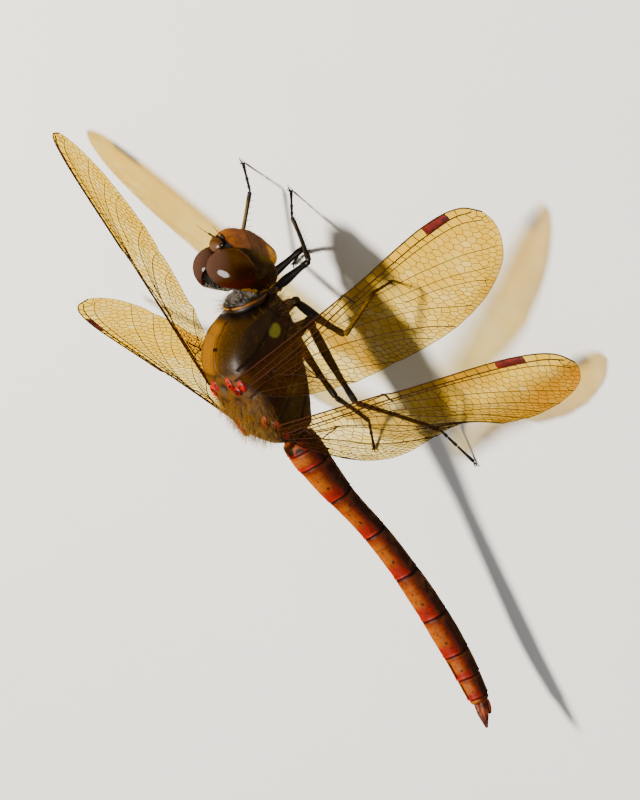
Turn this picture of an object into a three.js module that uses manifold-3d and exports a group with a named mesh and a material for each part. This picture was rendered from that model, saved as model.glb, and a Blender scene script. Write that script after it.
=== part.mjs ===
// A male common darter dragonfly (Sympetrum striolatum), life size, standing with its wings swept forward.
// Millimetres. +X points to the head, +Y to the insect's left, +Z up; the feet stand on z = 0.

import * as THREE from 'three';
import { mergeVertices } from 'three/addons/utils/BufferGeometryUtils.js';
import Module from 'manifold-3d';

const wasm = await Module();
wasm.setup();

// ---------------------------------------------------------------- driving dimensions

const FOREWING_LENGTH = 28.3;
const HINDWING_LENGTH = 27.2;
const WING_THICKNESS = 0.5; // far thicker than life, so that the wing is a sound solid
const LIMB_RADIUS = 0.27; // thinnest leg or feeler
const GAP = 0.06; // clearance between neighbouring pieces
const WING_ROOT_HEIGHT = 12.3; // the forewings' roots above the floor
const BODY_PITCH = 5.0; // degrees, head end up
const BODY_ROLL = 5.1; // degrees, left side up
const HEAD_PITCH = 22; // degrees, face turned down
const ORIGIN = new THREE.Vector3(-9.15, 0.25, 0); // middle of the model's base, from under the wing roots

// ---------------------------------------------------------------- finishes

const FINISHES = {
  cuticle_red: { color: 0xb8401a, roughness: 0.4, metalness: 0 },
  cuticle_olive: { color: 0x6b4a1e, roughness: 0.38, metalness: 0 },
  face_ochre: { color: 0xa8612a, roughness: 0.42, metalness: 0 },
  mouth_yellow: { color: 0xb79a4e, roughness: 0.5, metalness: 0 },
  eye_brown: { color: 0x5a1f17, roughness: 0.12, metalness: 0 },
  dark_chitin: { color: 0x1f1a18, roughness: 0.4, metalness: 0 },
  wing_amber: { color: 0xd9a441, roughness: 0.25, metalness: 0 },
};

const materials = Object.fromEntries(
  Object.entries(FINISHES).map(([name, look]) => [name, new THREE.MeshStandardMaterial({ name, ...look })]),
);

// ---------------------------------------------------------------- frames

const radians = THREE.MathUtils.degToRad;
const mix = THREE.MathUtils.lerp;
const vec = (x, y, z) => new THREE.Vector3(x, y, z);

// The thorax's own frame has its origin midway between the forewings' roots.
const bodyFrame = new THREE.Matrix4()
  .makeTranslation(0, 0, WING_ROOT_HEIGHT)
  .multiply(new THREE.Matrix4().makeRotationY(-radians(BODY_PITCH)))
  .multiply(new THREE.Matrix4().makeRotationX(radians(BODY_ROLL)));

const HEAD_CENTRE = vec(7.9, -0.6, 7.27);
const headFrame = new THREE.Matrix4()
  .makeTranslation(HEAD_CENTRE)
  .multiply(new THREE.Matrix4().makeRotationY(radians(HEAD_PITCH)));

const inBody = (x, y, z) => vec(x, y, z).applyMatrix4(bodyFrame);
const inHead = (x, y, z) => vec(x, y, z).applyMatrix4(headFrame);

// ---------------------------------------------------------------- solids

/** A closed skin over rings of equally many points, each end closed by a fan. */
function loft(rings) {
  const count = rings[0].length;
  const points = rings.flat();
  const index = [];
  for (let r = 0; r + 1 < rings.length; r += 1) {
    for (let i = 0; i < count; i += 1) {
      const j = (i + 1) % count;
      const [a, b, c, d] = [r * count + i, r * count + j, (r + 1) * count + j, (r + 1) * count + i];
      index.push(a, b, c, a, c, d);
    }
  }
  for (const [first, turned] of [[0, true], [(rings.length - 1) * count, false]]) {
    const middle = vec(0, 0, 0);
    for (let i = 0; i < count; i += 1) middle.addScaledVector(points[first + i], 1 / count);
    points.push(middle);
    for (let i = 0; i < count; i += 1) {
      const [a, b] = [first + i, first + ((i + 1) % count)];
      index.push(...(turned ? [points.length - 1, b, a] : [points.length - 1, a, b]));
    }
  }
  return solid(points, index);
}

/** The manifold solid of a closed triangle mesh. */
function solid(points, triangles) {
  const vertProperties = new Float32Array(points.flatMap((p) => [p.x, p.y, p.z]));
  const mesh = new wasm.Mesh({ numProp: 3, vertProperties, triVerts: new Uint32Array(triangles) });
  const body = new wasm.Manifold(mesh);
  if (body.volume() > 0) return body;
  const turned = [];
  for (let i = 0; i < triangles.length; i += 3) {
    turned.push(triangles[i], triangles[i + 2], triangles[i + 1]);
  }
  return new wasm.Manifold(new wasm.Mesh({ numProp: 3, vertProperties, triVerts: new Uint32Array(turned) }));
}

/** The solid of a closed three.js geometry, placed by a matrix. */
function solidOf(geometry, matrix) {
  const bare = geometry.clone().applyMatrix4(matrix);
  bare.deleteAttribute('normal');
  bare.deleteAttribute('uv');
  const merged = mergeVertices(bare, 1e-5);
  const at = merged.getAttribute('position');
  const points = Array.from({ length: at.count }, (_, i) => vec(at.getX(i), at.getY(i), at.getZ(i)));
  return solid(points, Array.from(merged.index.array));
}

/** A faceted ellipsoid: centre and semi-axes in a frame, tilted about X, then pitched about Y. */
function ellipsoid(frame, centre, semi, { tilt = 0, pitch = 0, detail = 3, grow = 0 } = {}) {
  const matrix = frame.clone()
    .multiply(new THREE.Matrix4().makeTranslation(centre))
    .multiply(new THREE.Matrix4().makeRotationY(radians(pitch)))
    .multiply(new THREE.Matrix4().makeRotationX(radians(tilt)))
    .multiply(new THREE.Matrix4().makeScale(semi.x + grow, semi.y + grow, semi.z + grow));
  return solidOf(new THREE.IcosahedronGeometry(1, detail), matrix);
}

/** A cube in a frame, used to cut solids along a plane. */
function block(frame, centre, size) {
  const matrix = frame.clone().multiply(new THREE.Matrix4().makeTranslation(centre));
  return solidOf(new THREE.BoxGeometry(size, size, size), matrix);
}

/** Unit vectors across a direction: the first lies level, the second completes the set. */
function across(direction) {
  const side = vec(0, 0, 1).cross(direction);
  if (side.length() < 1e-3) side.set(1, 0, 0);
  side.normalize();
  return [side, direction.clone().cross(side).normalize()];
}

const CAP = { length: 0.55, radius: 0.6 }; // a limb's rounded end, as shares of the limb's radius

/** A round-ended limb along a polyline, with a radius at every point. */
function limb(points, radii, { sides = 8, grow = 0, flat = 1 } = {}) {
  const rings = [];
  const ring = (centre, radius, direction) => {
    const [side, up] = across(direction);
    return Array.from({ length: sides }, (_, i) => {
      const turn = (2 * Math.PI * i) / sides;
      return centre.clone()
        .addScaledVector(side, radius * flat * Math.cos(turn))
        .addScaledVector(up, radius * Math.sin(turn));
    });
  };
  const last = points.length - 1;
  points.forEach((point, i) => {
    const before = points[Math.max(i - 1, 0)];
    const after = points[Math.min(i + 1, last)];
    const direction = after.clone().sub(before).normalize();
    const radius = radii[i] + grow;
    const reach = radius * CAP.length + grow;
    const moved = (along) => point.clone().addScaledVector(direction, along);
    const capAt = (along) => ring(moved(along), radius * CAP.radius, direction);
    if (i === 0) rings.push(capAt(-reach));
    rings.push(ring(point, radius, direction));
    if (i === last) rings.push(capAt(reach));
  });
  return loft(rings);
}

// ---------------------------------------------------------------- scene graph

const dragonfly = new THREE.Group();
dragonfly.name = 'common_darter';
dragonfly.position.copy(ORIGIN).negate();

/** The biggest of the separate pieces that a cut may leave. */
function biggest(body) {
  return body.decompose().reduce((a, b) => (b.volume() > a.volume() ? b : a));
}

/** Adds a solid as a named mesh whose own origin is the middle of its box. */
function add(name, body, finish) {
  const { vertProperties, triVerts } = biggest(body).getMesh();
  const geometry = new THREE.BufferGeometry();
  geometry.setAttribute('position', new THREE.BufferAttribute(new Float32Array(vertProperties), 3));
  geometry.setIndex(new THREE.BufferAttribute(new Uint32Array(triVerts), 1));
  geometry.computeBoundingBox();
  const centre = geometry.boundingBox.getCenter(vec(0, 0, 0));
  geometry.translate(-centre.x, -centre.y, -centre.z);
  geometry.computeVertexNormals();
  const mesh = new THREE.Mesh(geometry, materials[finish]);
  mesh.name = name;
  mesh.position.copy(centre);
  dragonfly.add(mesh);
}

// ---------------------------------------------------------------- thorax

// Stations of the thorax's side view: distance along it, its back, its underside and its half width.
const THORAX_STATIONS = [
  { x: -6.6, top: -2.1, bottom: -4.85, half: 1.25 },
  { x: -6.0, top: -1.6, bottom: -4.95, half: 1.7 },
  { x: -5.2, top: -1.05, bottom: -5.15, half: 2.15 },
  { x: -4.3, top: -0.5, bottom: -5.5, half: 2.5 },
  { x: -3.0, top: -0.15, bottom: -6.0, half: 2.75 },
  { x: -1.0, top: 0.0, bottom: -6.7, half: 2.9 },
  { x: 0.6, top: 0.05, bottom: -7.2, half: 2.9 },
  { x: 1.9, top: -0.15, bottom: -7.4, half: 2.8 },
  { x: 2.9, top: -0.9, bottom: -7.4, half: 2.6 },
  { x: 3.7, top: -2.1, bottom: -7.2, half: 2.25 },
  { x: 4.1, top: -3.0, bottom: -6.8, half: 1.85 },
];
// Half width, as a share of the station's, at shares of its height from the underside up.
const THORAX_SECTION = [
  { height: 0.0, width: 0.4 },
  { height: 0.06, width: 0.66 },
  { height: 0.2, width: 0.88 },
  { height: 0.42, width: 1.0 },
  { height: 0.65, width: 0.99 },
  { height: 0.83, width: 0.88 },
  { height: 0.95, width: 0.66 },
  { height: 1.0, width: 0.25 },
];

function thorax(grow = 0) {
  const rings = THORAX_STATIONS.map(({ x, top, bottom, half }, i) => {
    const end = i === 0 ? -grow : i === THORAX_STATIONS.length - 1 ? grow : 0;
    const side = THORAX_SECTION.map(({ height, width }) => ({
      y: width * (half + grow),
      z: bottom - grow + height * (top - bottom + 2 * grow),
    }));
    return [
      ...side.map(({ y, z }) => inBody(x + end, -y, z)),
      ...side.slice().reverse().map(({ y, z }) => inBody(x + end, y, z)),
    ];
  });
  return loft(rings);
}

const PROTHORAX = { centre: vec(4.25, -0.25, -5.35), semi: vec(0.9, 1.75, 1.75) };
const NECK = { from: vec(4.9, -0.3, -5.2), to: vec(6.2, -0.5, -5.4), radius: 0.75 };

const thoraxGrown = thorax(GAP);
const prothorax = (grow) => ellipsoid(bodyFrame, PROTHORAX.centre, PROTHORAX.semi, { detail: 2, grow });

add('thorax', thorax(), 'cuticle_olive');
add('prothorax', prothorax(0).subtract(thoraxGrown), 'cuticle_olive');

// ---------------------------------------------------------------- head

const EYE = { centre: vec(-0.6, 1.37, 0.64), semi: vec(1.7, 1.62, 2.66), tilt: 23, pitch: 18.7, back: -1.95 };
const CAPSULE = { centre: vec(-0.05, 0, -0.3), semi: vec(2.02, 2.49, 2.27) };
const OCCIPUT = { centre: vec(-1.05, 0, 1.8), semi: vec(0.8, 0.5, 0.85) };
const FRONS = { centre: vec(1.25, 0, 0.31), semi: vec(1.25, 1.6, 1.35) };
const CLYPEUS = { centre: vec(0.99, 0, -0.77), semi: vec(1.2, 1.83, 1.03) };
const LABRUM = { centre: vec(0.55, 0, -1.43), semi: vec(1.1, 1.8, 0.96) };
const LABIUM = { centre: vec(0, 0, -1.62), semi: vec(1.24, 2.28, 1.29) };
const VERTEX = { centre: vec(1.42, 0, 1.74), semi: vec(0.5, 0.6, 0.52) };
const FEELER = { root: vec(1.85, 0.68, 1.35), tip: vec(2.95, 1.03, 2.5), rootRadius: 0.28, tipRadius: 0.25 };

const piece = ({ centre, semi }, detail, grow = 0) => ellipsoid(headFrame, centre, semi, { detail, grow });

const BEYOND = 12; // a cutting block's size, larger than what it cuts

/** One compound eye, cut flat behind and where the two meet over the head; side is +1 left, -1 right. */
function eye(side, grow = 0) {
  const centre = vec(EYE.centre.x, side * EYE.centre.y, EYE.centre.z);
  const round = ellipsoid(headFrame, centre, EYE.semi, { tilt: side * EYE.tilt, pitch: EYE.pitch, grow });
  const inner = GAP / 2 - grow;
  const behind = block(headFrame, vec(EYE.back - grow - BEYOND / 2, 0, 0), BEYOND);
  return round.subtract(block(headFrame, vec(0, side * (inner - BEYOND / 2), 0), BEYOND)).subtract(behind);
}

const occiput = (grow) => piece(OCCIPUT, 1, grow);

const eyesGrown = eye(1, GAP).add(eye(-1, GAP));
add('eye_left', eye(1).subtract(occiput(GAP)), 'eye_brown');
add('eye_right', eye(-1).subtract(occiput(GAP)), 'eye_brown');

let taken = eyesGrown.add(prothorax(GAP));
const headPieces = [
  ['frons', FRONS, 2, 'face_ochre'],
  ['clypeus', CLYPEUS, 2, 'face_ochre'],
  ['labrum', LABRUM, 2, 'mouth_yellow'],
  ['head_capsule', CAPSULE, 2, 'cuticle_olive'],
  ['labium', LABIUM, 2, 'mouth_yellow'],
  ['vertex', VERTEX, 1, 'cuticle_olive'],
];
for (const [name, shape, detail, finish] of headPieces) {
  const body = piece(shape, detail).subtract(taken);
  add(name, shape === CAPSULE ? body.add(occiput(0)) : body, finish);
  taken = taken.add(piece(shape, detail, GAP));
}

const feelerEnds = (side) => [FEELER.root, FEELER.tip].map((p) => inHead(p.x, side * p.y, p.z));
for (const [name, side] of [['antenna_left', 1], ['antenna_right', -1]]) {
  const body = limb(feelerEnds(side), [FEELER.rootRadius, FEELER.tipRadius], { sides: 6 });
  add(name, body.subtract(taken), 'dark_chitin');
}

const neckEnds = [NECK.from, NECK.to].map((p) => inBody(p.x, p.y, p.z));
const neck = limb(neckEnds, [NECK.radius, NECK.radius], { sides: 12 });
add('neck', neck.subtract(prothorax(GAP)).subtract(taken), 'cuticle_olive');

// ---------------------------------------------------------------- abdomen

// The abdomen's middle line, from the waist to the tip; it sags, then lifts.
const ABDOMEN_PATH = new THREE.CatmullRomCurve3([
  vec(-6.35, 0.3, 8.25),
  vec(-11.2, -0.25, 7.4),
  vec(-16.5, -1.0, 6.05),
  vec(-22.0, -1.6, 5.15),
  vec(-27.4, -2.05, 4.7),
  vec(-31.6, -2.65, 4.9),
]);
// Length of each segment, and its radius where it starts and in its middle.
const SEGMENTS = [
  { length: 1.0, start: 1.25, middle: 1.38 },
  { length: 1.3, start: 1.41, middle: 1.42 },
  { length: 3.1, start: 1.38, middle: 1.22 },
  { length: 3.85, start: 1.06, middle: 0.96 },
  { length: 3.95, start: 0.95, middle: 0.98 },
  { length: 3.8, start: 0.99, middle: 1.06 },
  { length: 3.3, start: 1.07, middle: 1.1 },
  { length: 2.0, start: 1.05, middle: 1.03 },
  { length: 1.7, start: 0.97, middle: 0.92 },
  { length: 0.5, start: 0.84, middle: 0.76 },
];
const TIP_RADIUS = 0.62;
const ABDOMEN_SIDES = 12;
const KEEL_RISE = 0.06; // the ridge along the back, as a share of the radius
const BELLY_FLAT = 0.1; // how far the underside is pressed in, as a share of the radius

/** A cross-section at a share of the abdomen's length: round, with a keel above and a flatter underside. */
function abdomenRing(share, radius) {
  const centre = ABDOMEN_PATH.getPointAt(share);
  const direction = ABDOMEN_PATH.getTangentAt(share);
  const [side, up] = across(direction);
  if (up.z < 0) up.negate();
  return Array.from({ length: ABDOMEN_SIDES }, (_, i) => {
    const turn = (2 * Math.PI * i) / ABDOMEN_SIDES;
    const lift = Math.sin(turn);
    const keel = 1 + KEEL_RISE * Math.max(lift, 0) ** 4 - BELLY_FLAT * Math.max(-lift, 0) ** 2;
    return centre.clone()
      .addScaledVector(side, radius * Math.cos(turn))
      .addScaledVector(up, radius * keel * lift);
  });
}

const abdomenLength = SEGMENTS.reduce((sum, { length }) => sum + length, 0);
let reached = 0;
SEGMENTS.forEach(({ length, start, middle }, i) => {
  const end = SEGMENTS[i + 1]?.start ?? TIP_RADIUS;
  const [from, to] = [reached + GAP / 2, reached + length - GAP / 2];
  // Shares of the segment's length with the radius there: it swells from either ring towards its middle.
  const profile = [
    [0, start],
    [0.12, mix(start, middle, 0.5)],
    [0.5, middle],
    [0.88, mix(middle, end, 0.6)],
    [1, end],
  ];
  const rings = profile.map(([share, radius]) => abdomenRing(mix(from, to, share) / abdomenLength, radius));
  const body = loft(rings);
  const name = `abdomen_s${String(i + 1).padStart(2, '0')}`;
  add(name, i === 0 ? body.subtract(thoraxGrown) : body, 'cuticle_red');
  reached += length;
});

// The claspers at the tip, two upper ones and a broad lower one: places behind, beside and above the tip.
const CERCUS = [
  { back: 0.25, out: 0.34, up: 0.2, radius: 0.24 },
  { back: 1.0, out: 0.4, up: 0.3, radius: 0.27 },
  { back: 1.75, out: 0.36, up: 0.5, radius: 0.22 },
];
const EPIPROCT = [
  { back: 0.28, out: 0, up: -0.36, radius: 0.28 },
  { back: 0.95, out: 0, up: -0.3, radius: 0.25 },
];
const EPIPROCT_FLATNESS = 1.3; // width over height

const tip = ABDOMEN_PATH.getPointAt(1);
const tipDirection = ABDOMEN_PATH.getTangentAt(1);
const [tipSide, tipUp] = across(tipDirection);
if (tipUp.z < 0) tipUp.negate();
if (tipSide.y < 0) tipSide.negate();

/** A clasper, as a limb through places told from the tip; side mirrors it. */
function clasper(places, side, options) {
  const points = places.map(({ back, out, up }) => tip.clone()
    .addScaledVector(tipDirection, back)
    .addScaledVector(tipSide, side * out)
    .addScaledVector(tipUp, up));
  return limb(points, places.map(({ radius }) => radius), { sides: 6, ...options });
}

add('cercus_left', clasper(CERCUS, 1), 'cuticle_red');
add('cercus_right', clasper(CERCUS, -1), 'cuticle_red');
add('epiproct', clasper(EPIPROCT, 1, { flat: EPIPROCT_FLATNESS }), 'cuticle_red');

// ---------------------------------------------------------------- legs

// Each leg's joints, from the hip to where the toe stands on the floor.
const LEGS = {
  fore_right: {
    hip: vec(4.3, -0.45, 5), knee: vec(6.26, -4.67, 4.26),
    ankle: vec(8.36, -1.15, 1.81), toe: [9.5, 0.17],
  },
  middle_right: {
    hip: vec(2.7, -0.6, 4.2), knee: vec(0.23, -5.38, 4.47),
    ankle: vec(3.12, -8.89, 2.98), toe: [2.26, -7.28],
  },
  hind_right: {
    hip: vec(0.7, -0.6, 3.8), knee: vec(-4.09, -6.52, 6.7),
    ankle: vec(-9.6, -7.05, 1.37), toe: [-13.08, -7.58],
  },
  fore_left: {
    hip: vec(4.3, 1.65, 5.2), knee: vec(5.9, -1.2, 2.1),
    ankle: vec(4.45, 2.0, 0.45), toe: [3.2, 3.9],
  },
  middle_left: {
    hip: vec(2.7, 2, 4.5), knee: vec(5.6, 5.2, 3.6),
    ankle: vec(10.6, 2.13, 2.11), toe: [11.72, 4.57],
  },
  hind_left: {
    hip: vec(0.7, 2.1, 3.9), knee: vec(-5.1, -1.55, 4.9),
    ankle: vec(-9.65, 1.75, 1.06), toe: [-12.77, 4.09],
  },
};
// The short stout joint at the hip: how far it rises, leans back and draws in towards the middle line.
const COXA = { rise: 1.9, lean: -0.15, inward: 0.35, middle: 0.7, radii: [0.62, 0.45] };
const FEMUR = { shares: [0.06, 0.35, 0.97], radii: [0.36, 0.42, 0.34] };
const TIBIA = { shares: [0, 0.97], radii: [0.3, LIMB_RADIUS] };
const TOE = { length: 0.4, radius: 0.3, height: 0.17 }; // the foot's last joint, cut flat at the floor

const between = (a, b, share) => a.clone().lerp(b, share);

for (const [name, { hip, knee, ankle, toe }] of Object.entries(LEGS)) {
  const end = vec(toe[0], toe[1], TOE.height);
  const heading = end.clone().sub(ankle).setZ(0).normalize();
  const heel = end.clone().addScaledVector(heading, -TOE.length);
  const hipTop = between(hip, vec(hip.x, COXA.middle, hip.z), COXA.inward).add(vec(COXA.lean, 0, COXA.rise));

  const coxa = (grow) => limb([hipTop, hip], COXA.radii, { grow });
  const femurLine = FEMUR.shares.map((share) => between(hip, knee, share));
  const femur = (grow) => limb(femurLine, FEMUR.radii, { grow });
  const tibiaLine = TIBIA.shares.map((share) => between(knee, ankle, share));
  const tibia = (grow) => limb(tibiaLine, TIBIA.radii, { sides: 6, grow });
  const floor = block(new THREE.Matrix4(), vec(end.x, end.y, -BEYOND / 2), BEYOND);
  const tarsusRadii = [LIMB_RADIUS, LIMB_RADIUS, TOE.radius];
  const tarsus = limb([ankle, heel, end], tarsusRadii, { sides: 6 }).subtract(floor);

  add(`coxa_${name}`, coxa(0).subtract(thoraxGrown).subtract(prothorax(GAP)), 'cuticle_olive');
  add(`femur_${name}`, femur(0).subtract(coxa(GAP)).subtract(thoraxGrown), 'dark_chitin');
  add(`tibia_${name}`, tibia(0).subtract(femur(GAP)), 'dark_chitin');
  add(`tarsus_${name}`, tarsus.subtract(tibia(GAP)), 'dark_chitin');
}

// ---------------------------------------------------------------- wings

// Outlines as shares of the wing's length: distance from the root, and distance behind the leading edge.
const LEADING_EDGE = [
  [0, 0], [0.46, 0.004], [0.75, -0.002], [0.86, 0.001], [0.94, 0.014], [0.985, 0.038], [1.002, 0.075],
];
const FORE_TRAILING = [
  [0, 0.05], [0.08, 0.13], [0.25, 0.196], [0.45, 0.235], [0.6, 0.25],
  [0.75, 0.24], [0.88, 0.202], [0.95, 0.158], [0.99, 0.113], [1.002, 0.075],
];
const HIND_TRAILING = [
  [0, 0.1], [0.04, 0.22], [0.1, 0.292], [0.2, 0.327], [0.35, 0.318], [0.5, 0.292],
  [0.7, 0.25], [0.86, 0.2], [0.95, 0.153], [0.99, 0.11], [1.002, 0.075],
];

// Each wing's hinge, its angles in degrees (forward sweep, lift, pitch at mid-length, twist along the wing,
// and the downward fold of its rear), its breadth against the outline's, and how far its middle bows
// forward in millimetres.
const WINGS = {
  forewing_right: {
    side: -1, root: vec(0.7, -1.35, 12.2), sweep: 25.8, lift: -15.1,
    pitch: -29.3, twist: -3.3, breadth: 1.08, bow: -0.2, fold: 0,
  },
  hindwing_right: {
    side: -1, root: vec(-3.85, -1.35, 11.45), sweep: 7.5, lift: -18.9,
    pitch: -32.2, twist: 16, breadth: 1.02, bow: 0.15, fold: 23.6,
  },
  forewing_left: {
    side: 1, root: vec(0.3, 1.75, 12.35), sweep: 36.6, lift: -18.8,
    pitch: -42, twist: -3, breadth: 1, bow: 0.1, fold: 0,
  },
  hindwing_left: {
    side: 1, root: vec(-3.75, 1.5, 11.35), sweep: 11.8, lift: -12.2,
    pitch: -58, twist: -34, breadth: 1, bow: 0.1, fold: 0,
  },
};
const STATIONS = 14;
const STATION_SPREAD = 0.8; // below 1, the stations draw together towards the tip
const WING_SPAN = { from: 0.02, to: 0.995 }; // shares of the length where the blade starts and ends
const CAMBER = 0.05; // rise of the middle of the chord, as a share of the chord
// The rear's fold: its line as a share of the chord, and its middle and reach as shares of the wing's length.
const FOLD = { line: 0.48, at: 0.42, reach: 0.21 };
// The blade's section: shares of the chord, with the thickness there as a share of the wing's.
const BLADE = [[0, 0.35], [0.06, 1], [0.35, 1], [0.65, 1], [0.95, 1], [1, 0.35]];
const OUTLINE_SAMPLES = 120;

/** The distance behind the leading edge where an outline passes a given share of the length. */
function outlineAt(points, share) {
  const curve = new THREE.SplineCurve(points.map(([x, y]) => new THREE.Vector2(x, y)));
  const samples = curve.getPoints(OUTLINE_SAMPLES);
  const next = Math.max(1, samples.findIndex((p) => p.x >= share));
  const [a, b] = [samples[next - 1], samples[next]];
  return a.y + ((b.y - a.y) * (share - a.x)) / Math.max(b.x - a.x, 1e-6);
}

/** A wing: a thin cambered blade, lofted from its root to its tip and twisted along the way. */
function wing({ side, root, sweep, lift, pitch, twist, breadth, bow, fold }, length, trailing) {
  const [turn, rise] = [radians(sweep), radians(lift)];
  const span = vec(Math.sin(turn) * Math.cos(rise), side * Math.cos(turn) * Math.cos(rise), Math.sin(rise));
  const level = vec(0, 0, 1).cross(span).multiplyScalar(side).normalize();
  if (level.x > 0) level.negate();
  const normal = span.clone().cross(level).normalize();
  if (normal.z < 0) normal.negate();
  const rings = Array.from({ length: STATIONS }, (_, i) => {
    const progress = Math.sin((Math.PI / 2) * (i / (STATIONS - 1)) ** STATION_SPREAD);
    const share = mix(WING_SPAN.from, WING_SPAN.to, progress);
    const angle = radians(pitch + twist * (share - 0.5));
    const back = level.clone().multiplyScalar(Math.cos(angle)).addScaledVector(normal, Math.sin(angle));
    const face = normal.clone().multiplyScalar(Math.cos(angle)).addScaledVector(level, -Math.sin(angle));
    const front = outlineAt(LEADING_EDGE, share) * length - bow * 4 * share * (1 - share);
    const width = (outlineAt(trailing, share) * breadth - outlineAt(LEADING_EDGE, share)) * length;
    const fall = radians(fold) * Math.exp(-(((share - FOLD.at) / FOLD.reach) ** 2));
    const place = (c, h) => {
      const beyond = Math.max(c - FOLD.line, 0) * width;
      return root.clone()
        .addScaledVector(span, share * length)
        .addScaledVector(back, front + c * width - beyond * (1 - Math.cos(fall)))
        .addScaledVector(face, h + CAMBER * width * 4 * c * (1 - c) - beyond * Math.sin(fall));
    };
    const half = WING_THICKNESS / 2;
    return [
      ...BLADE.map(([c, h]) => place(c, h * half)),
      ...BLADE.slice().reverse().map(([c, h]) => place(c, -h * half)),
    ];
  });
  return loft(rings);
}

for (const [name, shape] of Object.entries(WINGS)) {
  const fore = name.startsWith('fore');
  const blade = wing(shape, fore ? FOREWING_LENGTH : HINDWING_LENGTH, fore ? FORE_TRAILING : HIND_TRAILING);
  add(name, blade.subtract(thoraxGrown), 'wing_amber');
}

export default dragonfly;
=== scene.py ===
"""The looks of a male common darter dragonfly, life size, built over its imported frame."""

import logging
import math
from dataclasses import dataclass
from enum import Enum
from functools import cached_property
from typing import Callable, Iterable, Sequence

import bmesh
import bpy
import numpy as np
from mathutils import Matrix, Vector


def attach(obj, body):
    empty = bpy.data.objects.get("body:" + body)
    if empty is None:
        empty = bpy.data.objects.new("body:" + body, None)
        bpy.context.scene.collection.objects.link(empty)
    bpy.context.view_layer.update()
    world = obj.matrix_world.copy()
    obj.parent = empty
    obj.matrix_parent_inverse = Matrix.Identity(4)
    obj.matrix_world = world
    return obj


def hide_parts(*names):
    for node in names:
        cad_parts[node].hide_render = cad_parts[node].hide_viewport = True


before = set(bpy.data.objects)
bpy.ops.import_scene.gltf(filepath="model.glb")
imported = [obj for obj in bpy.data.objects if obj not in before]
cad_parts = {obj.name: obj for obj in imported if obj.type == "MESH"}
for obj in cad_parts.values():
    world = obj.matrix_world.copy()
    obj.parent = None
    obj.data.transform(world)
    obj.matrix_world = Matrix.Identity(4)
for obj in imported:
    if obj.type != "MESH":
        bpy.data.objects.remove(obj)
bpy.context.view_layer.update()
LOG = logging.getLogger("darter")

MM = 0.001  # lengths below are in millimetres, and pieces in metres
SEED = 7
PATCH = 0.003  # width of a tuft's patch on the skin's unwrap
Array = np.ndarray
Surface = Callable[[Array, Array], Array]
Colour = tuple[float, float, float]


# ---------------------------------------------------------------- frames


def turned(degrees: float, axis: str) -> Matrix:
    """A rotation about an axis, as a 4x4 matrix."""
    return Matrix.Rotation(math.radians(degrees), 4, axis)


ORIGIN = Vector((-9.15, 0.25, 0.0))  # middle of the model's base, from under the wing roots
STAND = Matrix.Translation(-ORIGIN)
BODY = STAND @ Matrix.Translation((0, 0, 12.3)) @ turned(-5.0, "Y") @ turned(5.1, "X")
HEAD = STAND @ Matrix.Translation((7.9, -0.6, 7.27)) @ turned(22, "Y")


def carried(points: Array, matrix: Matrix) -> Array:
    """Points (n, 3) of a local frame, in the model's frame."""
    m = np.array(matrix)
    return points @ m[:3, :3].T + m[:3, 3]


def unit(v: Array) -> Array:
    """Vectors (..., 3) at unit length."""
    return v / np.maximum(np.linalg.norm(v, axis=-1, keepdims=True), 1e-9)


def smooth(x: Array, low: float, high: float) -> Array:
    """0 below low and 1 above high, with an eased step between."""
    t = np.clip((x - low) / (high - low), 0, 1)
    return t * t * (3 - 2 * t)


def spline(points: Sequence[Sequence[float]], samples: int = 160) -> Array:
    """A smooth line through points of any dimension, as samples along it.

    Args:
        points: The points that it passes.
        samples: How many samples to give back.

    Returns:
        An array of samples by dimensions.
    """
    p = np.array(points, float)
    t = np.linspace(0, len(p) - 1, samples)
    i = np.minimum(t.astype(int), len(p) - 2)
    u = (t - i)[:, None]
    a, b, c, d = p[np.maximum(i - 1, 0)], p[i], p[i + 1], p[np.minimum(i + 2, len(p) - 1)]
    v0, v1 = (c - a) / 2, (d - b) / 2
    return (2 * b - 2 * c + v0 + v1) * u**3 + (-3 * b + 3 * c - 2 * v0 - v1) * u**2 + v0 * u + b


def by_length(line: Array, share: Array) -> Array:
    """Points of a sampled line at shares of its length."""
    run = np.concatenate([[0], np.cumsum(np.linalg.norm(np.diff(line, axis=0), axis=1))])
    return np.stack([np.interp(share * run[-1], run, line[:, k]) for k in range(line.shape[1])], axis=-1)


def heading(line: Array, share: Array) -> Array:
    """The way that a sampled line runs at shares of its length."""
    return unit(by_length(line, np.clip(share + 0.01, 0, 1)) - by_length(line, np.clip(share - 0.01, 0, 1)))


def ball(turn: Array, share: Array) -> Array:
    """Places on a ball of radius 1, with its poles at the sides."""
    ring = np.sin(math.pi * share)
    return np.stack([ring * np.cos(turn), -np.cos(math.pi * share), ring * np.sin(turn)], axis=-1)


# ---------------------------------------------------------------- shader arithmetic


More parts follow.
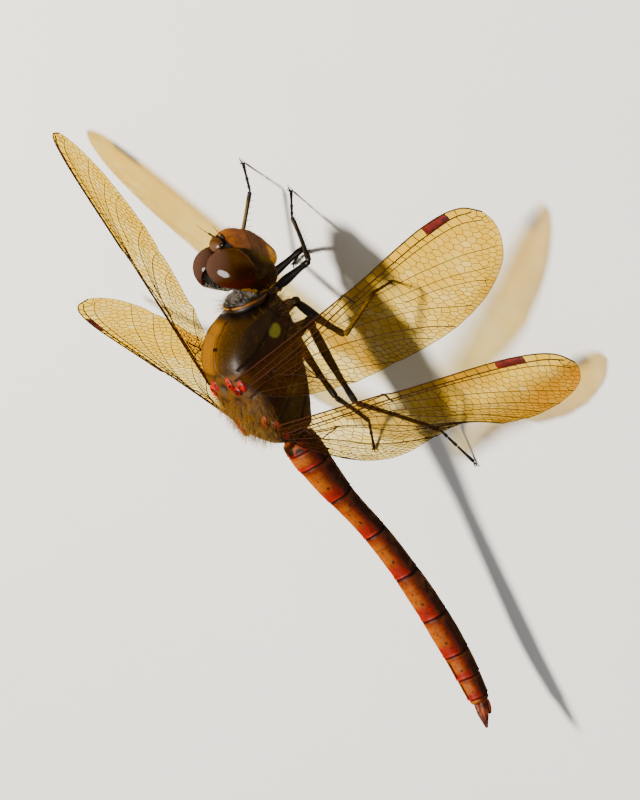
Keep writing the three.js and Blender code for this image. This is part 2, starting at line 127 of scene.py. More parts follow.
class Sock:
    """A shader value that takes part in Python arithmetic."""

    def __init__(self, shader: "Shader", out: bpy.types.NodeSocket) -> None:
        """Wraps one output socket of a shader's node."""
        self.shader = shader
        self.out = out

    def maths(self, operation: str, *values: "Sock | float") -> "Sock":
        """The result of a Math node on the given values."""
        return self.shader.node("ShaderNodeMath", {"operation": operation}, dict(enumerate(values)))

    def __add__(self, other: "Sock | float") -> "Sock":
        """Sum."""
        return self.maths("ADD", self, other)

    __radd__ = __add__

    def __mul__(self, other: "Sock | float") -> "Sock":
        """Product."""
        return self.maths("MULTIPLY", self, other)

    __rmul__ = __mul__

    def __sub__(self, other: "Sock | float") -> "Sock":
        """Difference."""
        return self.maths("SUBTRACT", self, other)

    def __rsub__(self, other: float) -> "Sock":
        """Difference, reflected."""
        return self.maths("SUBTRACT", other, self)

    def __truediv__(self, other: "Sock | float") -> "Sock":
        """Quotient."""
        return self.maths("DIVIDE", self, other)

    def __pow__(self, power: float) -> "Sock":
        """Power."""
        return self.maths("POWER", self, power)

    def __abs__(self) -> "Sock":
        """Absolute value."""
        return self.maths("ABSOLUTE", self)

    def root(self) -> "Sock":
        """Square root."""
        return self.maths("SQRT", self)

    def part(self) -> "Sock":
        """What is left above the whole number."""
        return self.maths("FRACT", self)

    def top(self, other: "Sock | float") -> "Sock":
        """The larger of two values."""
        return self.maths("MAXIMUM", self, other)

    def step(self, start: float, end: float) -> "Sock":
        """An eased step from 0 at start to 1 at end, which may lie below start."""
        settings = {"interpolation_type": "SMOOTHSTEP"}
        if start > end:
            return 1 - self.step(end, start)
        return self.shader.node("ShaderNodeMapRange", settings, {0: self, 1: start, 2: end})

    def near(self, centre: float, inner: float, outer: float) -> "Sock":
        """1 within inner of centre, easing to 0 at outer."""
        return abs(self - centre).step(outer, inner)

    def spot(self, other: "Sock", at: tuple[float, float], radius: float, blur: float) -> "Sock":
        """A round spot on the plane of this value and another."""
        across, along = self - at[0], other - at[1]
        return (across * across + along * along).root().step(radius + blur, radius - blur)


class Shader:
    """A material's node tree, written as expressions."""

    def __init__(self, name: str) -> None:
        """Starts a material with a Principled shader."""
        self.material = bpy.data.materials.new(name)
        self.material.use_nodes = True
        self.tree = self.material.node_tree
        self.bsdf = self.tree.nodes["Principled BSDF"]

    def plug(self, socket: bpy.types.NodeSocket, value: "Sock | float | Sequence[float]") -> None:
        """Links a value to a socket, or sets it there."""
        if isinstance(value, Sock):
            self.tree.links.new(value.out, socket)
        elif isinstance(value, (tuple, list)) and socket.type == "RGBA":
            socket.default_value = (*value[:3], 1.0)
        else:
            socket.default_value = value

    def node(self, kind: str, settings: dict, inputs: dict, out: int | str = 0) -> Sock:
        """Adds a node.

        Args:
            kind: The node's type.
            settings: Its properties, set first.
            inputs: Values or links by socket number or name.
            out: The output to hand back.

        Returns:
            The wrapped output.
        """
        made = self.tree.nodes.new(kind)
        for key, value in settings.items():
            setattr(made, key, value)
        for key, value in inputs.items():
            self.plug(made.inputs[key], value)
        return Sock(self, made.outputs[out])

    def mix(self, first: "Sock | tuple", second: "Sock | tuple", share: "Sock | float") -> Sock:
        """Two colours mixed by a share of the second."""
        return self.node("ShaderNodeMix", {"data_type": "RGBA"}, {0: share, 6: first, 7: second}, out=2)

    def layers(self, base: "Sock | tuple", *coats: tuple) -> "Sock | tuple":
        """A base colour with (colour, share) coats laid over it in order."""
        for colour, share in coats:
            base = self.mix(base, colour, share)
        return base

    def spot_of(self, frame_matrix: Matrix | None = None) -> Sock:
        """The object's coordinates in millimetres, in a local frame if one is given."""
        where = self.node("ShaderNodeTexCoord", {}, {}, out="Object")
        back = (frame_matrix or Matrix.Identity(4)).inverted()
        inputs = {"Vector": where, "Location": back.to_translation(), "Scale": (1 / MM,) * 3}
        mapped = self.node("ShaderNodeMapping", {"vector_type": "POINT"}, inputs)
        mapped.out.node.inputs["Rotation"].default_value = back.to_euler()
        return mapped

    def axes(self, vector: Sock) -> tuple[Sock, Sock, Sock]:
        """A vector's three values."""
        first = self.node("ShaderNodeSeparateXYZ", {}, {0: vector})
        return first, Sock(self, first.out.node.outputs[1]), Sock(self, first.out.node.outputs[2])

    def attribute(self, name: str) -> Sock:
        """A value that the mesh carries."""
        return self.node("ShaderNodeAttribute", {"attribute_name": name}, {}, out="Fac")

    def noise(self, vector: Sock, scale: float, detail: float = 3.0, warp: float = 0.0) -> Sock:
        """Fractal noise from 0 to 1, with features about 1/scale millimetres across."""
        inputs = {"Vector": vector, "Scale": scale, "Detail": detail, "Distortion": warp}
        return self.node("ShaderNodeTexNoise", {}, inputs)

    def cells(self, vector: Sock, scale: float) -> Sock:
        """The distance field of scattered cells, about 1/scale millimetres across."""
        return self.node("ShaderNodeTexVoronoi", {}, {"Vector": vector, "Scale": scale})

    def bump(self, height: Sock, depth: float, strength: float = 1.0) -> Sock:
        """A normal bent by a height, with its depth in millimetres."""
        inputs = {"Height": height, "Distance": depth * MM, "Strength": strength}
        return self.node("ShaderNodeBump", {}, inputs)

    def filter(self, colour: Colour) -> Sock:
        """A clear shader that passes this share of each colour."""
        return self.node("ShaderNodeBsdfTransparent", {}, {"Color": colour})

    def blend(self, first: Sock, second: Sock, share: "Sock | float") -> Sock:
        """Two shaders mixed by a share of the second."""
        return self.node("ShaderNodeMixShader", {}, {0: share, 1: first, 2: second})

    def show(self, shader: Sock) -> None:
        """Makes a shader what the surface shows."""
        self.plug(self.tree.nodes["Material Output"].inputs["Surface"], shader)

    def dress(self, **sockets: "Sock | float | tuple") -> bpy.types.Material:
        """Sets the Principled shader's sockets, named with _ for spaces, and gives the material back."""
        for key, value in sockets.items():
            self.plug(self.bsdf.inputs[key.replace("_", " ")], value)
        return self.material


# ---------------------------------------------------------------- shaping


class Form:
    """A shape in the making, in millimetres in the model's frame."""

    def __init__(self) -> None:
        """Starts an empty mesh."""
        self.bm = bmesh.new()

    def wrap(self, around: int, along: int, surface: Surface, **marks: Array | float | Callable) -> Array:
        """Adds a closed skin: a sphere whose vertices a surface places.

        Args:
            around: Faces round it.
            along: Faces from its first pole to its last.
            surface: Places (n, 3) from turns in radians and shares from pole to pole.
            marks: Values the vertices carry, or functions of (turn, share).

        Returns:
            The places, (n, 3).
        """
        layers = {name: self.layer(name) for name in marks}
        made = bmesh.ops.create_uvsphere(self.bm, u_segments=around, v_segments=along, radius=1)["verts"]
        ball = np.array([v.co for v in made])
        turn = np.arctan2(ball[:, 1], ball[:, 0])
        share = np.arccos(np.clip(-ball[:, 2], -1, 1)) / math.pi
        places = surface(turn, share)
        for vert, place in zip(made, places):
            vert.co = place
        for name, value in marks.items():
            values = value(turn, share) if callable(value) else np.full(len(made), value)
            self.mark(made, layers[name], values)
        return places

    def layer(self, name: str) -> bmesh.types.BMLayerItem:
        """The layer of values that the vertices carry under a name."""
        layers = self.bm.verts.layers.float
        return layers.get(name) or layers.new(name)

    @staticmethod
    def mark(verts: Iterable[bmesh.types.BMVert], layer: bmesh.types.BMLayerItem, values: Array) -> None:
        """Writes a value for each vertex."""
        for vert, value in zip(verts, values):
            vert[layer] = value

    def places(self, matrix: Matrix) -> Array:
        """The vertices' places (n, 3) in a local frame."""
        return carried(np.array([v.co for v in self.bm.verts]), matrix.inverted())

    def relief(self, matrix: Matrix, height: Callable[[Array, Array, Array], Array]) -> None:
        """Moves each vertex along its normal.

        Args:
            matrix: The local frame of the places.
            height: The rise in millimetres, from x, y and z in that frame.
        """
        bmesh.ops.recalc_face_normals(self.bm, faces=self.bm.faces)
        self.bm.normal_update()
        for vert, rise in zip(self.bm.verts, height(*self.places(matrix).T)):
            vert.co += vert.normal * rise

    def cone(self, start: Array, end: Array, radius: float, sides: int = 5) -> None:
        """Adds a spine from start to its sharp end."""
        way = Vector(end - start)
        turn = way.to_track_quat("Z", "Y").to_matrix().to_4x4()
        place = Matrix.Translation((Vector(start) + Vector(end)) / 2) @ turn
        bmesh.ops.create_cone(
            self.bm,
            cap_ends=True,
            segments=sides,
            radius1=radius,
            radius2=radius * 0.12,
            depth=way.length,
            matrix=place,
        )

    def piece(
        self, name: str, material: bpy.types.Material, slot: str, nodes: Iterable[str] = ()
    ) -> bpy.types.Object:
        """Makes the shape a piece of the model.

        Args:
            name: The piece's name.
            material: Its finish.
            slot: Not used.
            nodes: The frame's nodes that it stands for.

        Returns:
            The piece.
        """
        bmesh.ops.recalc_face_normals(self.bm, faces=self.bm.faces)
        bmesh.ops.scale(self.bm, vec=(MM, MM, MM), verts=self.bm.verts)
        mesh = bpy.data.meshes.new(name)
        self.bm.to_mesh(mesh)
        self.bm.free()
        return enrol(name, mesh, material, nodes)


def enrol(
    name: str, mesh: bpy.types.Mesh, material: bpy.types.Material, nodes: Iterable[str] = ()
) -> bpy.types.Object:
    """Links a finished mesh as a smooth piece that rides on the model."""
    mesh.materials.append(material)
    mesh.shade_smooth()
    made = bpy.data.objects.new(name, mesh)
    bpy.context.scene.collection.objects.link(made)
    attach(made, "root")
    nodes = list(nodes)
    if nodes:
        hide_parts(*nodes)
    LOG.info("%s: %d faces", name, len(mesh.polygons))
    return made


class Strands:
    """Many thin tubes, joined in one mesh from arrays."""

    def __init__(self) -> None:
        """Starts with none."""
        self.points: list[Array] = []
        self.faces: list[list[int]] = []
        self.marks: list[Array] = []
        self.roots: list[Array] = []
        self.count = 0

    def add(
        self, lines: Array, radii: Array, sides: int, mark: Array | float = 0.0, roots: Array | None = None
    ) -> None:
        """Adds tubes of one kind.

        Args:
            lines: Their middle lines, (tubes, points, 3).
            radii: The radius at each point, (tubes, points).
            sides: Faces round each.
            mark: A value for each point, or for all.
            roots: Where each grows on its skin's unwrap, (tubes, 2).
        """
        tubes, length = lines.shape[:2]
        way = unit(np.gradient(lines, axis=1))
        hint = np.where(np.abs(way[:, :1, 2:]) > 0.9, [[[1.0, 0, 0]]], [[[0, 0, 1.0]]])
        side = unit(np.cross(way, np.broadcast_to(hint, way.shape)))
        up = np.cross(side, way)
        angle = np.arange(sides) * 2 * math.pi / sides
        ring = side[:, :, None] * np.cos(angle)[:, None] + up[:, :, None] * np.sin(angle)[:, None]
        points = lines[:, :, None] + ring * radii[:, :, None, None]
        index = self.count + np.arange(tubes * length * sides).reshape(tubes, length, sides)
        following = np.roll(index, -1, axis=2)
        quads = np.stack([index[:, :-1], following[:, :-1], following[:, 1:], index[:, 1:]], axis=-1)
        self.faces += quads.reshape(-1, 4).tolist()
        self.faces += index[:, 0, ::-1].tolist() + index[:, -1].tolist()
        self.points.append(points.reshape(-1, 3))
        self.marks.append(
            np.broadcast_to(np.asarray(mark, float)[..., None], (tubes, length, sides)).reshape(-1)
        )
        if roots is not None:
            spread = np.stack(np.meshgrid(np.linspace(-0.5, 0.5, length), angle / 7, indexing="ij"), axis=-1)
            self.roots.append((roots[:, None, None] + PATCH * spread).reshape(-1, 2))
        self.count += tubes * length * sides

    def piece(self, name: str, material: bpy.types.Material, slot: str) -> bpy.types.Object:
        """Joins the tubes as a piece, with an OFBake map where they have roots."""
        mesh = bpy.data.meshes.new(name)
        mesh.from_pydata((np.concatenate(self.points) * MM).tolist(), [], self.faces)
        mesh.attributes.new("mark", "FLOAT", "POINT").data.foreach_set("value", np.concatenate(self.marks))
        if self.roots:
            corners = np.zeros(len(mesh.loops), np.int32)
            mesh.loops.foreach_get("vertex_index", corners)
            places = np.concatenate(self.roots)[corners]
            mesh.uv_layers.new(name="OFBake").data.foreach_set("uv", places.ravel())
        mesh.validate()
        return enrol(name, mesh, material)


@dataclass(frozen=True)
class Blob:
    """An ellipsoid: its middle, its half sizes, its tilt about X and its pitch about Y in degrees."""

    centre: tuple[float, float, float]
    semi: tuple[float, float, float]
    tilt: float = 0.0
    shrink: float = 0.04
    pitch: float = 0.0

    def surface(self, matrix: Matrix) -> Surface:
        """Its surface in a frame, just inside the solid that it stands for."""

        def place(turn: Array, share: Array) -> Array:
            """Places on it, with its poles at the sides."""
            local = ball(turn, share) * (np.array(self.semi) - self.shrink)
            leaning = turned(self.pitch, "Y") @ turned(self.tilt, "X")
            return carried(local, matrix @ Matrix.Translation(self.centre) @ leaning)

        return place


def limb_surface(line: Array, radii: Sequence[float], flat: float = 1.0) -> Surface:
    """The skin of a round-ended limb.

    Args:
        line: Its middle line, sampled.
        radii: Radii at even shares of its length.
        flat: Its width over its height.

    Returns:
        The surface.
    """
    length = float(np.linalg.norm(np.diff(line, axis=0), axis=1).sum())

    def place(turn: Array, share: Array) -> Array:
        """Places on it; each end is rounded over one radius."""
        centre = by_length(line, share)
        way = heading(line, share)
        side = unit(np.cross(np.array([0, 0, 1.0]), way) + 1e-6)
        up = np.cross(way, side)
        radius = np.interp(share, np.linspace(0, 1, len(radii)), radii)
        edge = np.minimum(share, 1 - share) * length / np.maximum(radius, 1e-6)
        radius = radius * np.sqrt(1 - (1 - np.clip(edge, 0, 1)) ** 2)
        around = side * (flat * np.cos(turn))[:, None] + up * np.sin(turn)[:, None]
        return centre + around * radius[:, None]

    return place


# ---------------------------------------------------------------- finishes


def tone(code: str) -> Colour:
    """The linear colour of a six-digit screen colour."""
    values = [int(code[i:i + 2], 16) / 255 for i in (0, 2, 4)]
    return tuple(v / 12.92 if v <= 0.04045 else ((v + 0.055) / 1.055) ** 2.4 for v in values)


@dataclass(frozen=True)
class EyeFinish:
    """A compound eye: plum brown above with a painted sheen on its top front, olive in front and below, a
    pale line across and fine facets.
    """

    plum_and_sheen: Colour = tone("462e22")
    amber: Colour = tone("3a2000")
    russet: Colour = tone("3c0800")
    maroon: Colour = tone("1c0200")
    olive: Colour = tone("2c1e00")
    seam: Colour = tone("6e4c26")
    facet: float = 0.05

    def build(self) -> bpy.types.Material:
        """The material."""
        s = Shader("compound_eye")
        where = s.spot_of(HEAD)
        f, left, u = s.axes(where)
        side = abs(left)
        cloud = s.noise(where, 0.9, 4, 0.4)
        grain = s.cells(where, 9)
        # the eye's own divide: level in front, sinking towards its side
        divide = u - 1.1 + (side - 2.0).top(0.0) * 0.38
        upper = divide.step(-0.05, 0.12)
        line = divide.near(0.0, 0.015, 0.065) * f.step(-0.35, 0.1)
        # painted sheen: the top front goes plum, partly the eye's own colour and partly a painted reflection
        # of the surroundings
        plum_and_sheen = (u + f * 0.35).step(2.0, 2.75)
        back = (f + u * 0.12).step(-0.55, -1.1)
        dim = f.step(0.25, -0.45) * u.step(2.5, 1.6)
        above = s.layers(
            self.amber,
            (tone("52330a"), cloud.step(0.5, 0.7) * 0.5),
            (self.maroon, dim * 0.85),
            (self.plum_and_sheen, plum_and_sheen),
            (self.russet, back * 0.85),
        )
        low = side.step(3.05, 2.6) * u.step(0.4, -0.4)
        below = s.layers(
            self.olive,
            (tone("120a00"), cloud.step(0.42, 0.6) * 0.75),
            (tone("4a3804"), low * 0.5),
            (tone("240600"), (f + 1.55).near(0.0, 0.12, 0.4) * 0.8),
            (tone("080400"), false_pupils(f, u) * 0.6),
        )
        base = s.mix(below, above, upper)
        rear = f.step(-1.72, -1.84)
        marks = s.cells(where, 1.05).step(0.45, 0.36)
        base = s.layers(
            base,
            (tone("5a4614"), grain.step(0.2, 0.1) * 0.22),
            (self.seam, line * 0.5),
            (tone("0c0602"), rear),
            (tone("a8780a"), rear * marks * 0.9),
        )
        domes = s.cells(where, 1 / self.facet)
        return s.dress(
            Base_Color=base,
            Roughness=0.05 + (1 - upper) * 0.14,
            Normal=s.bump(1 - domes * domes, 0.0014, 1.0),
            IOR=1.45,
        )


def false_pupils(f: Sock, u: Sock) -> Sock:
    """The dark false pupils on an eye's side."""
    total = f.spot(u, (-0.18, 0.11), 0.2, 0.16)
    for at in ((-0.66, 0.36), (0.39, 0.7), (-1.0, -0.2), (-0.5, -0.5)):
        total = total.top(f.spot(u, at, 0.17, 0.16))
    return total


@dataclass(frozen=True)
class FaceFinish:
    """The face shell: golden frons, olive cheeks, dull brown clypeus, ochre lips, dark back of the head."""

    gold: Colour = tone("804600")
    tan: Colour = tone("6b3e06")
    mauve: Colour = tone("5a3410")
    olive: Colour = tone("3a2602")
    lips: Colour = tone("7a4e04")
    yellow: Colour = tone("a87404")
    back: Colour = tone("1a0f06")
    dark: Colour = tone("080301")

    def build(self) -> bpy.types.Material:
        """The material; the furrows' depth comes from the mesh's fold mark."""
        s = Shader("face_shell")
        where = s.spot_of(HEAD)
        f, left, u = s.axes(where)
        side = abs(left)
        cloud = s.noise(where, 1.1, 5, 0.6)
        fine = s.noise(where, 9, 3)
        crown = (u + f * 0.25).step(0.0, 0.75)
        cheek = (side - f * 0.3).step(1.35, 1.9)
        behind = f.step(-0.2, -0.9)
        band = ((f - 1.72) * 0.75 + side * 0.5 + (1.3 - u) * 0.3).step(0.42, 0.28) * u.step(0.98, 1.12)
        mouth = u.step(-1.3, -1.7)
        gena = u.step(-1.25, -1.5) * side.step(1.5, 1.9)
        base = s.layers(
            self.mauve,
            (self.tan, (u + 0.35).step(-0.35, 0.35)),
            (self.gold, crown * (1 - cheek * 0.75)),
            (tone("6a2c00"), crown * cloud.step(0.45, 0.62) * 0.45),
            (self.olive, cheek * u.step(-0.7, -0.3) * 0.7),
            (self.lips, mouth * (0.55 + cloud * 0.5)),
            (self.yellow, gena * cloud.step(0.46, 0.54)),
            (self.dark, gena * cloud.step(0.47, 0.4) * 0.95),
            (self.back, behind * 0.95),
            (tone("54432e"), behind * u.step(1.2, 2.0) * 0.8),
            (tone("6a2a04"), f.step(-0.78, -0.7) * u.step(2.2, 2.4)),
            (tone("a8883c"), (f + 0.78).near(0.0, 0.03, 0.09) * u.step(2.2, 2.4) * 0.7),
            (self.dark, band * (1 - side.step(0.75, 0.45) * f.step(1.95, 2.05))),
            # painted highlight: a pale lilac spot on the frons beside the vertex
            (tone("9a6c50"), f.spot(u * 2.2, (2.04, 2.95), 0.3, 0.16) * side.step(0.62, 0.25) * 0.7),
            (self.dark, s.attribute("fold") * 0.4),
            (tone("241200"), fine.step(0.5, 0.72) * 0.3),
        )
        return s.dress(
            Base_Color=base,
            Roughness=0.38 + cloud * 0.16 + behind * 0.2,
            Normal=s.bump(s.cells(where, 13) + fine, 0.02, 0.5),
            IOR=1.35,
        )


@dataclass(frozen=True)
class VertexFinish:
    """The swelling between the eyes: polished brown, black at its foot."""

    brown: Colour = tone("52300c")
    dark: Colour = tone("080301")

    def build(self) -> bpy.types.Material:
        """The material."""
        s = Shader("vertex_shell")
        where = s.spot_of(HEAD)
        f, _, u = s.axes(where)
        cloud = s.noise(where, 1.6, 4, 0.4)
        foot = (u + (1.75 - f) * 0.45).step(1.74, 1.56)
        sheen = u.step(1.8, 2.05) * f.step(1.75, 1.4)
        base = s.layers(
            self.brown,
            (tone("2c1204"), cloud.step(0.42, 0.65) * 0.6),
            (tone("846656"), sheen * 0.22),
            (self.dark, foot),
        )
        height = s.noise(where, 9, 3)
        return s.dress(Base_Color=base, Roughness=0.2 + cloud * 0.1, Normal=s.bump(height, 0.015, 0.4))


@dataclass(frozen=True)
class ThoraxFinish:
    """The two-tone thorax: golden shoulders, the left one brightened by painted light and the front's right
    side darkened by painted shade, a dark ridge with its fork, pale panels between dark seams.
    """

    ground: Colour = tone("2e1400")
    shoulder: Colour = tone("452a00")
    gold: Colour = tone("865400")
    panel: Colour = tone("3a2c00")
    spot: Colour = tone("6a6a04")
    line: Colour = tone("0a0401")

    def build(self) -> bpy.types.Material:
        """The material; its plates' edges come from the mesh's own marks."""
        s = Shader("thorax_shell")
        where = s.spot_of(BODY)
        x, y, z = s.axes(where)
        side = abs(y)
        cloud = s.noise(where, 0.7, 5, 0.8)
        fine = s.noise(where, 7, 3)
        behind = x - (-0.4 - z) * 0.273
        front = behind.step(1.2, 1.6)
        middle = z.step(-5.4, -6.4)
        rear = (x - (-1.0 - z) * 0.72).step(-3.2, -3.7)
        base = s.layers(
            self.ground,
            (self.panel, (x - (-0.4 - z) * 0.4).near(-1.3, 0.5, 1.0) * side.step(1.6, 2.3) * 0.5),
            (self.panel, rear * side.step(1.2, 2.0) * 0.75),
            (self.shoulder, front * (0.75 + cloud * 0.3)),
            # gold by the ridge on both sides is colour; the bright gold on the left shoulder is painted light
            (self.gold, front * (side.step(0.42, 0.2) * 0.35 + y.near(0.95, 0.35, 1.1) * 0.85)),
            # painted shade: the front darker on its right side
            (tone("2c1c02"), front * y.step(-0.5, -1.0) * 0.7),
            (self.line, x.step(3.75, 3.95) * 0.95),
            (self.line, z.step(-3.1, -3.9) * x.step(3.5, 3.8) * 0.9),
        )
        back = z.step(-1.3, -0.6) * x.step(1.4, 0.9)
        base = s.layers(
            base,
            (tone("6a4404"), back * (0.45 + cloud * 0.5)),
            (tone("1e0e02"), back * s.attribute("pit") * 0.9),
            (self.spot, x.spot((z + 4.45) * 0.82, (2.05, 0.0), 0.5, 0.1) * side.step(2.0, 2.4) * 0.95),
            (self.spot, x.spot((z + 3.3) * 0.7, (-2.3, 0.0), 0.42, 0.16) * side.step(2.0, 2.4) * 0.4),
            (self.line, s.attribute("seam") * 0.92),
            (self.line, x.spot(z, (2.9, -0.9), 0.12, 0.06) * side.step(0.3, 0.2)),
            (self.line, middle * 0.35),
        )
        return s.dress(
            Base_Color=s.mix(base, tone("1c1006"), fine.step(0.5, 0.75) * 0.3),
            Roughness=0.26 + cloud * 0.2 + back * 0.2,
            Normal=s.bump(fine + s.noise(where, 22, 2) * 0.7, 0.03, 0.5),
            IOR=1.4,
        )


@dataclass(frozen=True)
class AbdomenFinish:
    """The red abdomen: brighter along its back, partly by a painted highlight, its flanks darker, partly by
    painted shade, dark under it, ringed at each joint, with paired dots.
    """

    back: Colour = tone("9a2200")
    flank_and_shade: Colour = tone("2e0f00")
    belly: Colour = tone("140800")
    orange_and_highlight: Colour = tone("b46200")
    red: Colour = tone("a01400")
    dark: Colour = tone("0c0301")

    def build(self) -> bpy.types.Material:
        """The material; station counts segments from the waist, and lift and side go round the section."""
        s = Shader("abdomen_shell")
        where = s.spot_of()
        station, lift, side = s.attribute("station"), s.attribute("lift"), abs(s.attribute("side"))
        within = station.part()
        cloud = s.noise(where, 1.1, 4, 0.5)
        streak = s.noise(where, 3.4, 3, 0.2)
        dots = within.spot(side * 0.42, (0.62, 0.27), 0.035, 0.03) * lift.step(-0.2, 0.1)
        stud = within.spot(side * 0.42, (0.36, 0.19), 0.022, 0.02) * lift.step(0.2, 0.4)
        ring = within.near(0.0, 0.02, 0.05).top(within.near(1.0, 0.02, 0.045))
        keel = within.near(0.3, 0.006, 0.018) * lift.step(-0.7, -0.2)
        keel = keel * station.step(1.9, 2.0) * station.step(7.1, 7.0)
        crown = station.step(6.98, 7.05) * station.step(9.0, 8.9) * side.step(0.2, 0.1) * lift.step(0.5, 0.8)
        base = s.layers(
            # the flanks: dark red-brown, partly painted shade
            self.flank_and_shade,
            (self.back, lift.step(0.0, 0.7)),
            # painted highlight: bright orange along the back in each segment's middle, partly the cuticle's
            # orange
            (self.orange_and_highlight, lift.step(0.3, 0.85) * within.near(0.4, 0.15, 0.42) * (0.25 + cloud * 0.9)),
            (self.red, lift.step(0.1, 0.6) * within.near(0.86, 0.06, 0.24) * 0.7),
            (tone("6e3600"), (within.near(0.05, 0.05, 0.16) * lift.step(-0.5, 0.2)) * 0.4),
            (tone("5a2c00"), cloud.step(0.5, 0.68) * lift.step(0.9, 0.3) * 0.7),
            (tone("2a0800"), streak.step(0.5, 0.72) * 0.5),
            (self.belly, lift.step(-0.3, -0.62) * 0.92),
            (tone("6a4406"), lift.near(-0.58, 0.03, 0.12) * within.near(0.45, 0.25, 0.4) * 0.5),
            (self.dark, (ring * 0.8).top(keel * 0.35)),
            (self.dark, dots.top(stud) * station.step(1.7, 2.0) * 0.9),
            (self.dark, crown * within.near(0.5, 0.3, 0.42) * 0.9),
            (self.dark, station.step(1.0, 0.75) * (0.35 + cloud.step(0.45, 0.55) * 0.6)),
        )
        roughness = 0.34 + streak * 0.2
        height = streak * 0.5 + s.cells(where, 13) * 0.5
        return s.dress(Base_Color=base, Roughness=roughness, Normal=s.bump(height, 0.022, 0.55), IOR=1.25)


@dataclass(frozen=True)
class LegFinish:
    """A blackish leg with a violet sheen; its shin's outer edge is paler, by the mesh's pale mark."""

    dark: Colour = tone("110b08")
    sheen: Colour = tone("2c2530")
    pale: Colour = tone("6e5c2a")

    def build(self) -> bpy.types.Material:
        """The material."""
        s = Shader("leg_shell")
        where = s.spot_of()
        cloud = s.noise(where, 1.3, 4, 0.5)
        base = s.layers(
            self.dark,
            (self.sheen, cloud.step(0.45, 0.7) * 0.7),
            (tone("33210f"), s.noise(where, 3, 2).step(0.55, 0.7) * 0.5),
            (self.pale, s.attribute("pale") * (0.6 + cloud * 0.4)),
        )
        ridges = s.noise(where, 12, 3)
        return s.dress(
            Base_Color=base, Roughness=0.32 + cloud * 0.2, Normal=s.bump(ridges, 0.02, 0.5), Coat_Weight=0.12
        )


@dataclass(frozen=True)
class PlainFinish:
    """One chitin tone with a second clouded into it."""

    name: str
    first: str
    second: str
    gloss: float
    scale: float = 1.5
    coat: float = 0.2

    def build(self) -> bpy.types.Material:
        """The material."""
        s = Shader(self.name)
        where = s.spot_of()
        cloud = s.noise(where, self.scale, 4, 0.4)
        return s.dress(
            Base_Color=s.mix(tone(self.first), tone(self.second), cloud.step(0.4, 0.62)),
            Roughness=self.gloss + cloud * 0.12,
            Normal=s.bump(s.noise(where, 9, 3), 0.02, 0.4),
            IOR=1.35,
            Coat_Weight=self.coat,
            Coat_Roughness=0.1,
        )


@dataclass(frozen=True)
class VeinFinish:
    """A wing's veins: rosy tan by the hinge, then brown, by the mesh's mark."""

    root: Colour = tone("38180c")
    middle: Colour = tone("341a06")
    tip: Colour = tone("342006")

    def build(self) -> bpy.types.Material:
        """The material."""
        s = Shader("wing_veins")
        mark = s.attribute("mark")
        cloud = s.noise(s.spot_of(), 0.8, 3)
        base = s.layers(self.root, (self.middle, mark.step(0.06, 0.3)), (self.tip, mark.step(0.3, 0.75)))
        return s.dress(
            Base_Color=s.mix(base, tone("4a200a"), cloud.step(0.5, 0.7) * 0.3), Roughness=0.5, IOR=1.3
        )


@dataclass(frozen=True)
class MembraneFinish:
    """A wing's clear film: it tints what is seen through it, amber by the mesh's mark, faintly glossy."""

    clear: Colour = (0.96, 0.89, 0.62)
    amber: Colour = (0.88, 0.68, 0.14)
    gloss: Colour = tone("6a4a10")
    gloss_share: float = 0.05

    def build(self) -> bpy.types.Material:
        """The material."""
        s = Shader("wing_membrane")
        cloud = s.noise(s.spot_of(), 0.35, 3, 0.3)
        depth = (s.attribute("amber") + (cloud - 0.5) * 0.7).step(0.0, 0.8)
        tinted = s.blend(s.filter(self.clear), s.filter(self.amber), depth)
        material = s.dress(Base_Color=self.gloss, Roughness=0.25, IOR=1.3)
        s.show(s.blend(tinted, Sock(s, s.bsdf.outputs[0]), self.gloss_share))
        return material


@dataclass(frozen=True)
class HairFinish:
    """Fine hair, paler to its tip by the mesh's mark."""

    name: str
    root: str
    tip: str

    def build(self) -> bpy.types.Material:
        """The material."""
        s = Shader(self.name)
        cloud = s.noise(s.spot_of(BODY), 0.9, 3)
        base = s.mix(
            tone(self.root), tone(self.tip), (s.attribute("mark") * 0.8 + cloud * 0.4 - 0.1).step(0.1, 0.9)
        )
        return s.dress(Base_Color=base, Roughness=0.45, Subsurface_Weight=0.25, Subsurface_Scale=0.0002)


@dataclass(frozen=True)
class FloorFinish:
    """A plain pale floor, faintly mottled."""

    def build(self) -> bpy.types.Material:
        """The material."""
        s = Shader("studio_floor")
        mottle = s.noise(s.spot_of(), 0.05, 4)
        return s.dress(
            Base_Color=s.mix(tone("fdfaf4"), tone("f6f2ea"), mottle), Roughness=0.75 + mottle * 0.1
        )


# ---------------------------------------------------------------- head


class Side(Enum):
    """The insect's own left and right, with the sign of Y there."""

    LEFT = 1
    RIGHT = -1

    @property
    def word(self) -> str:
        """What it is called in a piece's name."""
        return self.name.lower()


